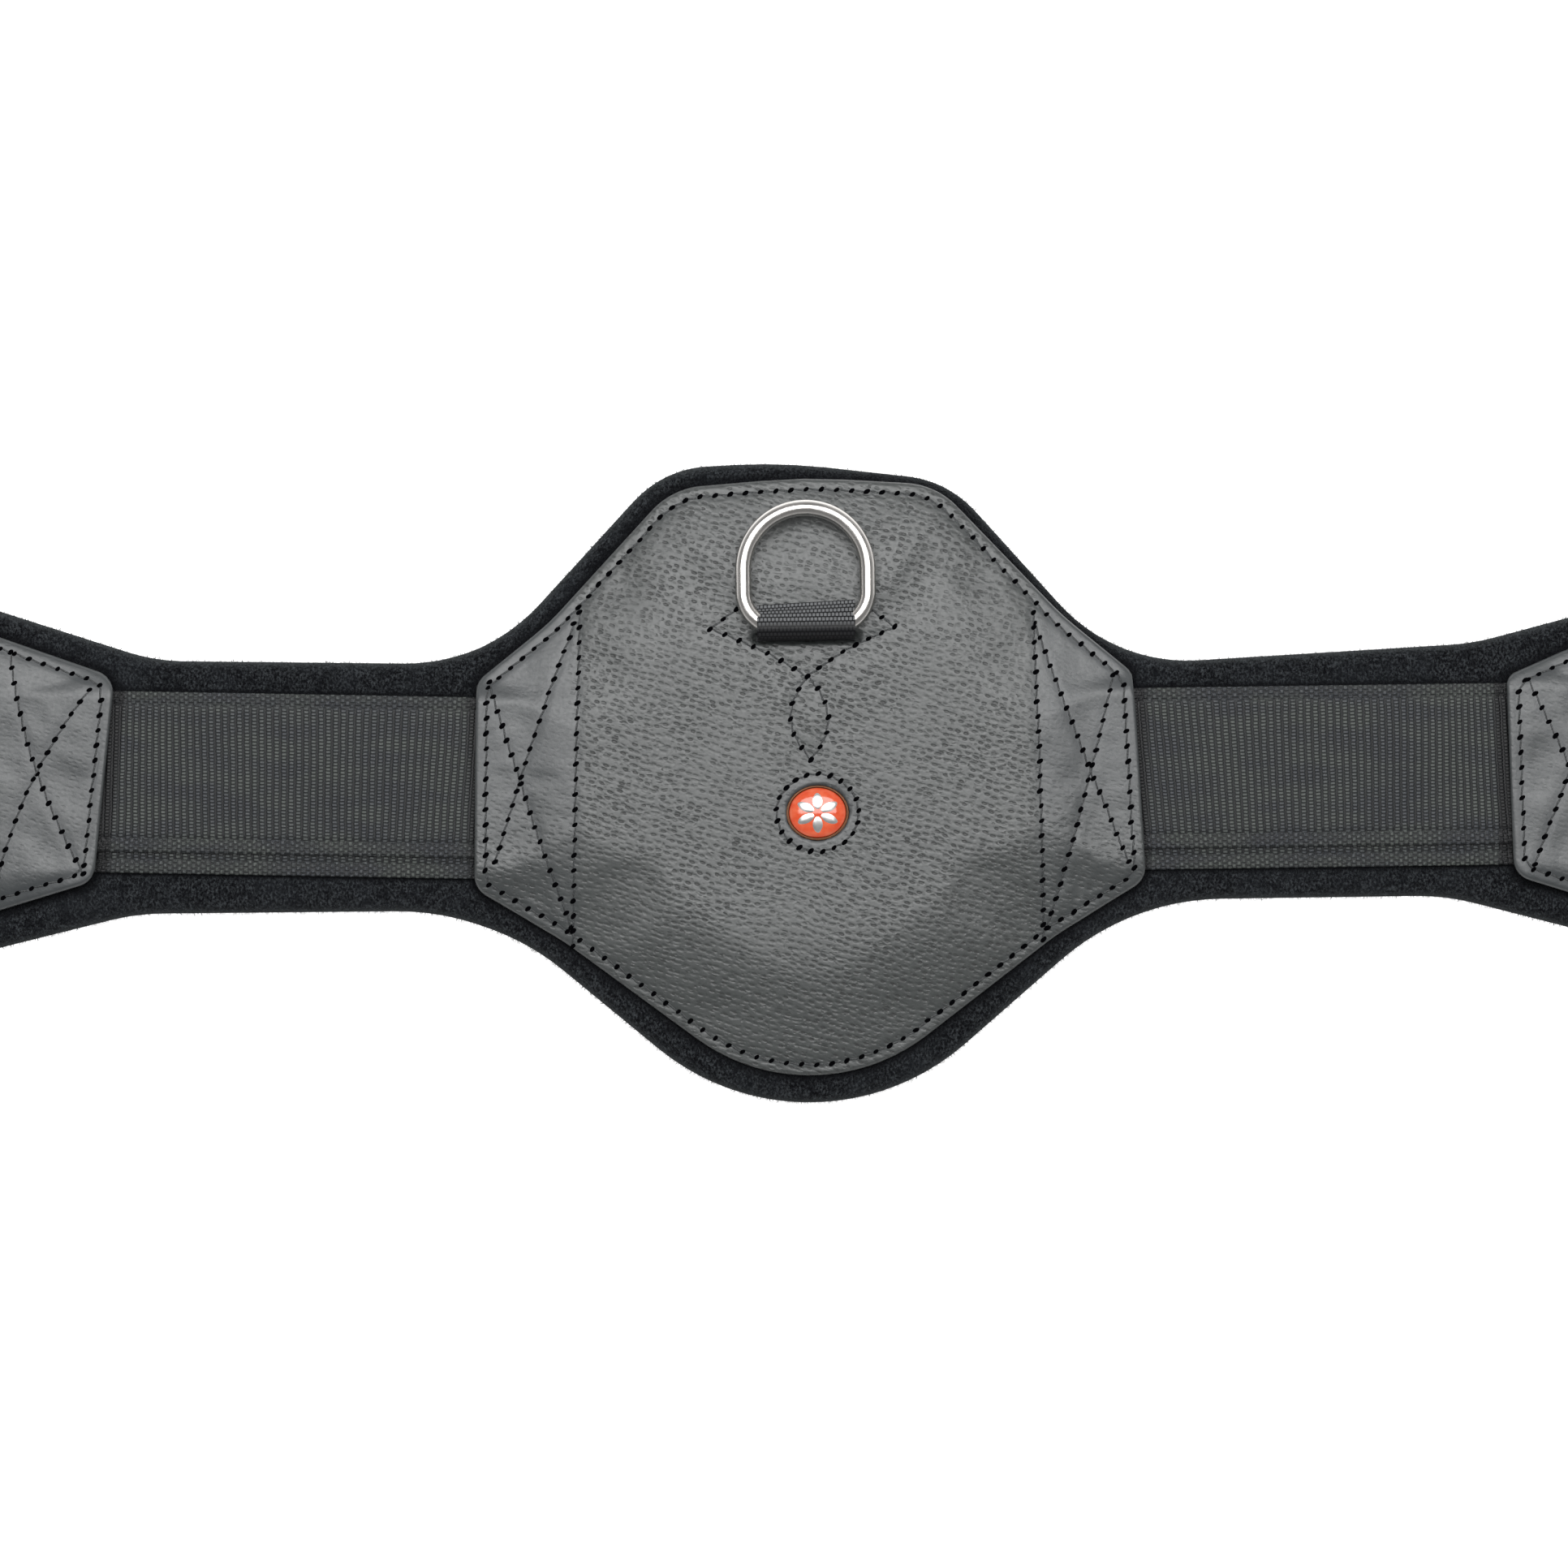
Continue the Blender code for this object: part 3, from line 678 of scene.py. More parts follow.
def sew(name, lines, height, looks, pitch=STITCH):
    """Thread along each line: a stitch from hole to hole, and at each needle hole between stitches a dark
    lens of painted shade.
    """
    generator = random.Random(11)
    thread, thread_faces, holes, hole_faces = [], [], [], []
    share = np.linspace(0, 1, 7)
    arch = np.sin(np.pi * share)
    lift = THREAD_RISE * arch**0.5 - THREAD_SINK
    radii = THREAD_RADIUS + THREAD_SWELL * arch
    for line in lines:
        places, ways = walk(line, pitch)
        sides = np.stack([-ways[:, 1], ways[:, 0]], 1)
        places = places + sides * np.array([generator.gauss(0, STRAY) for _ in places])[:, None]
        for k in range(len(places) - 1):
            a = places[k] + sides[k] * ZIGZAG
            b = places[k + 1] - sides[k + 1] * ZIGZAG
            plan = a + (b - a) * share[:, None]
            path = np.column_stack([plan, height(plan[:, 0], plan[:, 1]) + lift])
            add_tube(thread, thread_faces, tube_rings(path, radii, THREAD_SIDES))
        levels = height(places[:, 0], places[:, 1]) + HOLE_RISE
        for place, level in zip(places, levels):
            angle = HOLE_LEAN + generator.gauss(0, 0.12)
            size = generator.uniform(0.88, 1.12)
            half = HOLE_HALF[0] * size, HOLE_HALF[1] * size, HOLE_HALF[2]
            add_lens(holes, hole_faces, (*place, level), angle, half)
    return (
        piece_from(f"{name}_stitches", thread, thread_faces, looks["thread"]),
        piece_from(f"{name}_needle_holes", holes, hole_faces, looks["hole"]),
    )


# ---------------------------------------------------------------- leather


def rounded_rim(d, thick):
    """How far a sheet's two faces draw together near its edge, d from it."""
    radius = thick / 2
    near = np.clip(1 - d / radius, 0, 1)
    return radius * (1 - np.sqrt(np.clip(1 - near**2, 0, 1)))


RIM_TOP = PAD_TOP + 0.3 + LEATHER
OVER_WEB_TOP = WEB_HIGH.z + 0.45 + LEATHER
SEAM_DEPTH, SEAM_HALF = 0.18, 0.95
# Where the leather has come down to the felt and where it is still up, from the webbing's rear edge
CENTRE_DROP = -13, 4
WING_DROP = -16, 0.5
DOME_REACH = 28
REAR_SLOPE_Y, REAR_SLOPE = -32, 57


def over_web(y, drop=CENTRE_DROP):
    """1 over the webbing. The leather falls off its front edge at once, and off its rear edge slowly."""
    front = smooth_step(WEB_HIGH.y + 8, WEB_HIGH.y - 2, y)
    return front * smooth_step(LOWER_WEB_LOW.y + drop[0], LOWER_WEB_LOW.y + drop[1], y)


def centre_height(x, y, lines):
    """The centre panel's outer face, apart from its edge."""
    d = distance_to_lines(x, y, [closed_line(outline(CENTRE_PANEL))])
    dome = 1 - (1 - np.clip(d / DOME_REACH, 0, 1)) ** 1.5
    fall = 1 - np.clip((REAR_SLOPE_Y - y) / REAR_SLOPE, 0, 1) ** 2
    dome = RIM_TOP + (PLATEAU - RIM_TOP) * dome * fall
    web = RIM_TOP - 1 + (OVER_WEB_TOP - RIM_TOP + 1) * over_web(y) * smooth_step(50, 66, np.abs(x))
    blur = 0.8
    z = (dome + web + np.sqrt((dome - web) ** 2 + blur**2) - blur * 0.5) / 2
    return z, d, distance_to_lines(x, y, lines)


class Field:
    """A height known on columns of points, read anywhere between them."""

    def __init__(self, x, y, z):
        self.xs, self.y, self.z = x[:, 0], y, z

    def column(self, x, y):
        k = int(np.clip(np.searchsorted(self.xs, x), 1, len(self.xs) - 1))
        share = np.clip((x - self.xs[k - 1]) / max(self.xs[k] - self.xs[k - 1], 1e-9), 0, 1)
        near = np.interp(y, self.y[k - 1], self.z[k - 1])
        far = np.interp(y, self.y[k], self.z[k])
        return near + (far - near) * share

    def grid(self, x, y):
        return np.array([self.column(a[0], b) for a, b in zip(x, y)])

    def __call__(self, px, py):
        return np.array([float(self.column(a, b)) for a, b in zip(px, py)])


CLOTH_STEP = 2.4
CLOTH_FRAMES = 20
CLOTH_PRESSURE = 4
MOST_SWELL = 0.4


def softened(field):
    """The field with each value drawn towards its neighbours'."""
    for _ in range(2):
        wide = np.pad(field, 1, "edge")
        field = (wide[:-2, 1:-1] + wide[2:, 1:-1] + wide[1:-1, :-2] + wide[1:-1, 2:] + 4 * field) / 8
    return field


def swelling(name, edge, height, lines):
    """How far padding lifts a leather sheet between its stitch lines, by Blender's cloth, as a Field."""
    x, y = plan_grid(edge, edge[:, 0].min() + 0.1, edge[:, 0].max() - 0.1, CLOTH_STEP, (False, False))
    z, d, sewn = height(x, y, lines)
    points = np.stack([x.ravel(), y.ravel(), z.ravel()], 1)
    sheet = piece_from(f"{name}_sheet", points, grid_faces(np.arange(x.size).reshape(x.shape)), None)
    held = np.flatnonzero((np.minimum(d, sewn) < CLOTH_STEP * 0.6).ravel())
    group = sheet.vertex_groups.new(name="sewn")
    group.add(held.tolist(), 1.0, "REPLACE")
    cloth = sheet.modifiers.new("cloth", "CLOTH")
    settings = cloth.settings
    settings.quality = 6
    settings.mass = 0.4
    settings.tension_stiffness = settings.compression_stiffness = 20
    settings.shear_stiffness = 8
    settings.bending_stiffness = 20
    settings.vertex_group_mass = "sewn"
    settings.shrink_min = -0.004  # it is cut a little larger than its place
    settings.use_pressure = True
    settings.uniform_pressure_force = CLOTH_PRESSURE
    settings.effector_weights.gravity = 0
    scene = bpy.context.scene
    for step in range(1, CLOTH_FRAMES + 1):
        scene.frame_set(step)
        bpy.context.view_layer.update()
    shape = sheet.evaluated_get(bpy.context.evaluated_depsgraph_get()).to_mesh()
    moved = np.empty(len(shape.vertices) * 3)
    shape.vertices.foreach_get("co", moved)
    scene.frame_set(1)
    bpy.data.objects.remove(sheet)
    rise = softened(moved.reshape(-1, 3)[:, 2].reshape(x.shape) / MM - z)
    return Field(x, y, MOST_SWELL * np.tanh(rise / MOST_SWELL))


def leather_piece(name, edge, sign, height, lines, spacing, looks, finish):
    """A sewn leather sheet whose own side is +X. finish gives the last height and the smooth patches."""
    x, y = plan_grid(edge, edge[:, 0].min(), edge[:, 0].max(), spacing)
    z, d, sewn = height(x, y, lines)
    z = z + swelling(name, edge, height, lines).grid(x, y)
    z += ripple(x * sign, y, 9, 0.05, sign) + ripple(x * sign, y, 26, 0.18, 3.0)
    z -= SEAM_DEPTH * np.exp(-((sewn / SEAM_HALF) ** 2))
    z, smooth = finish(x, y, z)
    smooth = np.clip(smooth + 0.3 * np.exp(-((sewn / 1.2) ** 2)), 0, 1)
    draw = rounded_rim(d, LEATHER)
    # "rim" paints a highlight along the leather's edge.
    values = {"smooth": smooth, "rim": smooth_step(0.9, 0.1, d) * 0.4}
    made = pillow(name, x * sign, y, z - draw, z - LEATHER + draw, looks["leather"], values)
    return made, Field(x, y, z)


BOX_X = 57, 63  # the stitched boxes at the centre panel's two sides
BADGE_DIP, SLIT_DIP = 1.9, 1.7
CREASE_SIZE, CREASE_DEPTH = 8, 0.25


def centre_finish(x, y, z):
    """The leather dips round the badge and into the slit under the tape, and creases in the low corners."""
    oval = np.hypot((x - BADGE.x) / BADGE_HALF[0], (y - BADGE.y) / BADGE_HALF[1])
    z = z + (PLATEAU + 0.1 - z) * smooth_step(1.5, 1.1, oval) - BADGE_DIP * smooth_step(0.98, 0.90, oval)
    slit = smooth_step(1.9, 0.7, np.abs(y - SLIT_Y)) * smooth_step(14.6, 12.9, np.abs(x))
    boxed = smooth_step(*BOX_X, np.abs(x))
    low = smooth_step(-10, -24, y) * boxed
    z = z - SLIT_DIP * slit + low * ripple(x * 3.2, y, CREASE_SIZE, CREASE_DEPTH, 9.0)
    return z, boxed * (0.85 - 0.55 * smooth_step(8, -22, y)) + 0.7 * smooth_step(1.55, 1.2, oval)


def centre_leather(looks):
    lines, edge = stitch_lines(CENTRE_PANEL, CENTRE_LINES), outline(CENTRE_PANEL)
    panel, field = leather_piece(
        "centre_leather", edge, 1, centre_height, lines, 0.85, looks, centre_finish
    )
    settle(panel, "centre", "leather", "centre_panel", "centre_filler")
    ring = [arc_points(BADGE, BADGE_RING, 20, 380, 60)]
    for part in (*sew("centre", lines, field, looks), *sew("badge", ring, field, looks, BADGE_STITCH)):
        settle(part, "centre", "leather")


WEB_END = 240, 225
ELASTIC_HALF = 42, 39
ELASTIC_END = 238, 250
WING_RIM = 12


def wing_height(side):
    edge = [closed_line(outline(WING_PANEL[side]))]

    def height(x, y, lines):
        d = distance_to_lines(x, y, edge)
        on_web = over_web(y, WING_DROP) * smooth_step(*WEB_END, x)
        on_elastic = smooth_step(*ELASTIC_HALF, np.abs(y)) * smooth_step(*ELASTIC_END, x)
        ramp = 1 - (1 - np.clip(d / WING_RIM, 0, 1)) ** 2
        lifted = np.maximum(np.maximum(on_web, on_elastic), ramp * 0.9)
        z = RIM_TOP + (OVER_WEB_TOP - 0.2 - RIM_TOP) * lifted
        return z, d, distance_to_lines(x, y, lines)

    return height


def wing_finish(x, y, z):
    low = smooth_step(-4, -20, y) * smooth_step(225, 205, x)
    z = z + low * ripple(x * 2.2, y, CREASE_SIZE, CREASE_DEPTH, 12.0)
    return z, 0.80 * smooth_step(216, 209, x)


def wing_leather(side, sign, looks):
    edge = outline(WING_PANEL[side])
    lines = stitch_lines(WING_PANEL[side], (*WING_LINES, *WING_CROSS[side]))
    panel, field = leather_piece(
        f"{side}_leather", edge, sign, wing_height(side), lines, 0.95, looks, wing_finish
    )
    settle(panel, f"{side}_wing", "leather", f"{side}_panel")
    turned = [line * (sign, 1) for line in lines]
    for part in sew(side, turned, lambda px, py: field(px * sign, py), looks):
        settle(part, f"{side}_wing", "leather")


# ---------------------------------------------------------------- felt


def felt_surfaces(x, y, d, sign):
    """The felt's two faces: a thick pad with round edges, thinner under the buckles."""
    thick = PAD_TOP + (GUARD_TOP - PAD_TOP) * smooth_step(GUARD_X - 1, GUARD_X + 5, x)
    draw = rounded_rim(d / 1.15, thick)
    plump = 0.35 * smooth_step(0, 9, d) * smooth_step(26, 9, d)
    top = thick - draw + plump * 0.3 + ripple(x * sign, y, 7, 0.12) - 0.1
    under = draw + ripple(x * sign, y, 11, 0.10, 5.0) * smooth_step(1, 4, d) + 0.1
    return top, np.maximum(under, 0)


FUZZ_PER_MM = 7
HAIR_RADII = 0.085, 0.06, 0.02


def fuzz(name, edge, sign, look):
    """Short felt hairs that stand out of the rim."""
    generator = random.Random(7 + sign)
    points, faces = [], []
    for place, way in zip(*walk(closed_line(edge), 1 / FUZZ_PER_MM)):
        if place[0] < 0:
            continue
        out = np.array([way[1], -way[0]])
        thick = PAD_TOP if place[0] < GUARD_X else GUARD_TOP
        level = generator.uniform(0.06, 1.0)
        angle = math.acos(2 * level - 1)
        inwards = thick * 0.5 * (1 - math.sin(angle)) * 1.15
        root = np.array([*(place - out * (inwards + 0.15)), thick * level])
        aim = np.array([*(out * (0.25 + math.sin(angle))), (level - 0.5) * 1.6])
        aim[:2] += way * generator.gauss(0, 0.55)
        aim[2] += generator.gauss(0, 0.25)
        aim /= np.linalg.norm(aim)
        length = generator.uniform(0.35, 1.15)
        curl = np.array([*(way * generator.gauss(0, 0.3)), generator.gauss(0, 0.2)])
        path = [root, root + aim * length * 0.5, root + aim * length + curl * length]
        path = [(px * sign, py, max(pz, 0.12)) for px, py, pz in path]
        add_tube(points, faces, tube_rings(path, HAIR_RADII, 3))
    return piece_from(name, points, faces, look)


def felt(side, sign, looks):
    """The felt on one side of the middle, worked out with that side turned to +X."""
    edge = (outline(FELT) * (sign, 1))[::sign]
    x, y = plan_grid(edge, 0, edge[:, 0].max(), 1.35, rims=(False, True))
    d = distance_to_lines(x, y, [closed_line(edge)])
    top, bottom = felt_surfaces(x, y, d, sign)
    covers = [closed_line(outline(CENTRE_PANEL)), closed_line(outline(WING_PANEL[side])) * (sign, 1)]
    shade = smooth_step(3.2, 0.4, distance_to_lines(x * sign, y, covers)) * 0.85
    web_edge = np.minimum(np.abs(y - WEB_HIGH.y), np.abs(y - LOWER_WEB_LOW.y))
    web_shade = smooth_step(1.5, 0.3, web_edge) * smooth_step(188, 184, x) * 0.85
    shade = np.maximum(shade, web_shade)
    # "rim" paints a highlight along the felt's rim.
    values = {"rim": smooth_step(1.6, 0.0, d) * 0.8, "shade": shade}
    body = pillow(f"{side}_felt", x * sign, y, top, bottom, looks["felt"], values, (True, False), 50)
    own = [f"{side}_{part}" for part in ("lining", "buckle_guard", "foam")]
    settle_bent(body, side, sign, "felt", *own, "centre_lining", "centre_foam")
    settle_bent(fuzz(f"{side}_felt_nap", edge, sign, looks["fuzz"]), side, sign, "felt")


# ---------------------------------------------------------------- webbing

RIB = 1.86
YARN = 0.89
SELVAGE = 3.6
MIDDLE_GAP = 0.2
UNDER_INSET = 0.3
PANEL_EDGE_X = 86.7


def web_layer(name, side, sign, node, selvages, looks):
    """One layer of webbing. "rib" counts the ribs along it, and "pick" the yarns over each rib."""
    low, high = node_box(f"right_{node}")
    columns = math.ceil((high.x - MIDDLE_GAP) / (RIB / 4))
    xs = np.linspace(MIDDLE_GAP, high.x, columns)
    near_rim = np.array([0, 0.06, 0.2, 0.45, 0.9])
    inner = np.arange(low.y + 1.5, high.y - 1.5, YARN / 1.5)
    ys = np.concatenate([low.y + near_rim, inner, high.y - near_rim[::-1]])
    x, y = np.meshgrid(xs, ys, indexing="ij")
    # The ribs lean a little near the panels, where the webbing is pulled in.
    lean = 0.075 * smooth_step(150, 84, x) + 0.05 * smooth_step(160, 185, x)
    rib = (x + lean * (y - low.y)) / RIB + ripple(x * sign, y, 22, 0.16, 2.0)
    pick = y / YARN + ripple(x * sign, y, 15, 0.25, 6.0)
    near_low, near_high = y - low.y, high.y - y
    near = np.minimum(near_low, near_high)
    selvage = np.zeros_like(x)
    for chosen, inwards in zip(selvages, (near_low, near_high)):
        if chosen:
            selvage = np.maximum(selvage, smooth_step(SELVAGE + 0.3, SELVAGE - 0.3, inwards))
    ribs = 0.10 * np.abs(np.sin(math.pi * rib)) * (1 - selvage)
    seam = 0.25 * np.exp(-(((near - SELVAGE) / 0.5) ** 2))
    top = high.z - 0.16 - rounded_rim(near, high.z - low.z) * 0.9 + ribs - seam
    top += ripple(x * sign, y, 16, 0.14, 4.0)
    upper = np.arange(x.size).reshape(x.shape)
    under = x.size + np.arange(columns * 2).reshape(columns, 2)
    under_y = np.tile([low.y + UNDER_INSET, high.y - UNDER_INSET], columns)
    points = np.concatenate([
        np.stack([x.ravel(), y.ravel(), top.ravel()], 1),
        np.stack([np.repeat(xs, 2), under_y, np.full(columns * 2, low.z)], 1),
    ])
    points[:, 0] *= sign
    flip = sign < 0
    faces = grid_faces(upper, flip) + grid_faces(under, not flip)
    for pair in ((under[:, 0], upper[:, 0]), (upper[:, -1], under[:, 1])):
        faces += grid_faces(np.stack(pair, 1), flip)
    for column, turned in ((0, flip), (-1, not flip)):
        cap = [under[column, 1], *upper[column][::-1], under[column, 0]]
        faces.append([int(k) for k in (cap[::-1] if turned else cap)])
    low_corner, high_corner = WING_PANEL[side][0], WING_PANEL[side][-1]
    wing_x = np.interp(y, (low_corner[1], high_corner[1]), (low_corner[0], high_corner[0]))
    shade = smooth_step(3.0, 0.4, x - PANEL_EDGE_X) + smooth_step(4.0, 2.4, wing_x - x)
    flat = {"rib": rib, "pick": pick, "edge": selvage, "shade": np.clip(shade, 0, 1) * 0.9}
    values = {key: np.concatenate([value.ravel(), np.zeros(columns * 2)]) for key, value in flat.items()}
    made = piece_from(name, points, faces, looks["web"], values, 60)
    settle_bent(made, side, sign, "web", f"{side}_{node}", f"centre_{node}")


def webbing(side, sign, looks):
    web_layer(f"{side}_webbing_upper", side, sign, "web_upper", (True, True), looks)
    web_layer(f"{side}_webbing_lower", side, sign, "web_lower", (True, False), looks)


# ---------------------------------------------------------------- ring, tape and badge


def wire_piece(name, plan, z, radius, look, sides=20):
    """A closed loop of round wire along a plan outline."""
    closed = np.vstack([plan[-1:], plan, plan[:1]])
    path = np.column_stack([closed, np.full(len(closed), z)])
    rings = tube_rings(path, radius, sides)[1:-1]
    return piece_from(name, rings.reshape(-1, 3), ring_faces(len(rings), sides, ends="loop"), look)


RING_CORNER = 9


def d_ring(looks):
    bow_radius = RING_HALF - 0.1
    corners = [
        (-RING_HALF, RING_BAR_Y, RING_CORNER), (RING_HALF, RING_BAR_Y, RING_CORNER),
        (RING_HALF, RING_TOP_Y, bow_radius), (-RING_HALF, RING_TOP_Y, bow_radius),
    ]
    ring = wire_piece("ring", outline(corners), RING_Z, WIRE, looks["steel"], 28)
    settle(ring, "d_ring", "steel", "d_ring")


TAPE_TILT = 0.045
TAPE_COLUMNS = 24
TAPE_THICK, TAPE_CLEAR = 0.85, 0.22
TAPE_FOLD = 46.2, PLATEAU + 1.35  # the middle of its fold, as y and z


def ring_tape(looks):
    """The folded tape: up out of the slit, over the bar, out to its fold and back underneath."""
    bar = np.array((RING_BAR_Y, RING_Z))
    fold_y, fold_z = TAPE_FOLD

    def wrap(radius, lift, fold_reach):
        over = arc_points(bar, (radius, radius), 205, 62, 16)
        low_start = bar + np.array((-radius * 0.93, -2.2))
        slope = bow(over[-1], (fold_y, fold_z + lift), 0.35, 10)
        turn = arc_points((fold_y, fold_z), (fold_reach, lift), 75, -75, 8)
        back = bow((fold_y, fold_z - lift), (bar[0] - radius * 0.5, fold_z - lift), 0, 8)
        return [low_start, *over, *slope[1:], *turn, *back[1:]]

    outer = wrap(WIRE + TAPE_CLEAR + TAPE_THICK, 0.95, 0.8)
    inner = wrap(WIRE + TAPE_CLEAR, 0.12, 0.25)
    profile = np.array(outer + inner[::-1])[::-1]
    along = run_lengths(closed_line(profile))[:-1]
    half = node_box("ring_tape_loop")[1].x
    x = np.repeat(np.linspace(-half, half, TAPE_COLUMNS), len(profile))
    y, z = np.tile(profile, (TAPE_COLUMNS, 1)).T
    points = np.stack([x, y + TAPE_TILT * x * smooth_step(43.0, 46.0, y), z], 1)
    # Painted shade on the lower side of the wrap, turned down into the slit.
    slit_shade = 0.9 * smooth_step(42.4, 40.6, y)
    values = {"along": np.tile(along, TAPE_COLUMNS), "across": x, "slit_shade": slit_shade}
    faces = ring_faces(TAPE_COLUMNS, len(profile), flip=True)
    loop = piece_from("ring_tape", points, faces, looks["tape"], values, 50)
    settle(loop, "d_ring", "tape", "ring_tape_loop")


DOME_RINGS, DOME_SIDES = 16, 64
RIM_WIRE = 0.32
# CAD pieces that stay as they are, with a better material
CARRIED_OVER = {"badge_cup": "bronze", "badge_washer": "steel", "ring_tape_tail": "hidden_tape"}
PETALS = 6
PETAL_REACH = 1.0, 6.0
PETAL_HALF = 1.5
PETAL_GRID = 9, 5


def petal(points, faces, angle, surface):
    """One raised petal on the badge's dome."""
    rows, columns = PETAL_GRID
    index = np.arange(len(points), len(points) + rows * columns).reshape(rows, columns)
    faces += grid_faces(index)
    for i in range(rows):
        share = i / (rows - 1)
        out = PETAL_REACH[0] + (PETAL_REACH[1] - PETAL_REACH[0]) * share
        half = PETAL_HALF * math.sin(math.pi * (0.06 + 0.9 * share)) ** 0.8
        for j in range(columns):
            side = half * (2 * j / (columns - 1) - 1)
            x = BADGE.x + out * math.cos(angle) - side * math.sin(angle)
            y = BADGE.y + (out * math.sin(angle) + side * math.cos(angle)) * 0.88
            edge = j in (0, columns - 1) or i in (0, rows - 1)
            points.append((x, y, surface(x, y) + (-0.05 if edge else 0.14)))


def badge(looks):
    """An orange dome with a plain silver flower, in its bronze cup."""
    half = (DOME_HIGH.x - DOME_LOW.x) / 2, (DOME_HIGH.y - DOME_LOW.y) / 2
    crown, shoulder = DOME_HIGH.z + 0.1, PLATEAU - 0.35

    def surface(x, y):
        out = min(math.hypot((x - BADGE.x) / half[0], (y - BADGE.y) / half[1]), 1)
        return shoulder + (crown - shoulder) * math.sqrt(1 - out**2 * 0.985)

    def oval(share, wider=0.0):
        reach = (half[0] + wider) * share, (half[1] + wider) * share
        return arc_points(BADGE, reach, 0, 360, DOME_SIDES + 1)[:-1]

    points = [(BADGE.x, BADGE.y, crown)]
    for k in range(1, DOME_RINGS + 1):
        share = math.sin(math.pi / 2 * k / DOME_RINGS)
        points += [(x, y, surface(x, y)) for x, y in oval(share)]
    points += [(x, y, DOME_LOW.z) for x, y in oval(1)]
    faces = ring_faces(DOME_RINGS + 1, DOME_SIDES, 1, "point")
    dome = piece_from("badge_enamel", points, faces, looks["resin"])
    settle(dome, "centre", "resin", "badge_dome")

    rim = wire_piece("badge_rim", oval(1, RIM_WIRE), PLATEAU - 0.05, RIM_WIRE, looks["bronze"], 12)
    settle(rim, "centre", "bronze")
    flower, flower_faces = [], []
    for k in range(PETALS):
        petal(flower, flower_faces, math.radians(360 / PETALS * k + 30), surface)
    settle(piece_from("badge_flower", flower, flower_faces, looks["silver"]), "centre", "steel")
    for node, look in CARRIED_OVER.items():
        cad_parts[node].data.materials[0] = looks[look]


# ---------------------------------------------------------------- buckles


def rounded_copy(node, name, body, look, width):
    """A copy of a steel CAD piece with its sharp edges rounded off."""
    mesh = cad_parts[node].data.copy()
    mesh.name = name
    mesh.materials.clear()
    mesh.materials.append(look)
    made = add_object(name, mesh)
    weld = made.modifiers.new("weld", "WELD")
    weld.merge_threshold = 1e-5
    bevel = made.modifiers.new("round", "BEVEL")
    bevel.width = width * MM
    bevel.segments = 3
    bevel.limit_method = "ANGLE"
    bevel.angle_limit = math.radians(35)
    mesh.shade_smooth()
    mesh.set_sharp_from_angle(angle=math.radians(60))
    settle(made, body, "steel", node)


BAR_X = 322.0
BUCKLE_CORNER = 4
ROLLER_EDGE, TONGUE_EDGE = 0.35, 0.6
LOOP_TAIL, LOOP_SLOT, SLOT_TAIL = 20.0, 3.6, 13.0
LOOP_IN, ELASTIC_THICK = 2.75, 1.15
ELASTIC_INSET = 0.06
THROAT, EYE_END = -8.4, -6.9
ELASTIC_WAVE, ELASTIC_WAVE_LENGTH = 0.10, 1.6
BAND_RIM = 0, 0.12, 0.4


def add_band(points, faces, values, profile, y_low, y_high, place):
    """Adds a closed band: a profile in XZ carried along Y. place is x, y, z and the sign of its side."""
    profile = np.asarray(profile, float)
    along = run_lengths(closed_line(profile))[:-1]
    rows = [y_low + inset for inset in BAND_RIM]
    rows += [*np.linspace(y_low + 1.2, y_high - 1.2, 6)]
    rows += [y_high - inset for inset in reversed(BAND_RIM)]
    x, y, z, sign = place
    faces += ring_faces(len(rows), len(profile), len(points), flip=sign < 0)
    for row in rows:
        points.extend((x + sign * px, y + row, z + pz) for px, pz in profile)
        values["along"].extend(along)
        values["across"].extend([row] * len(profile))


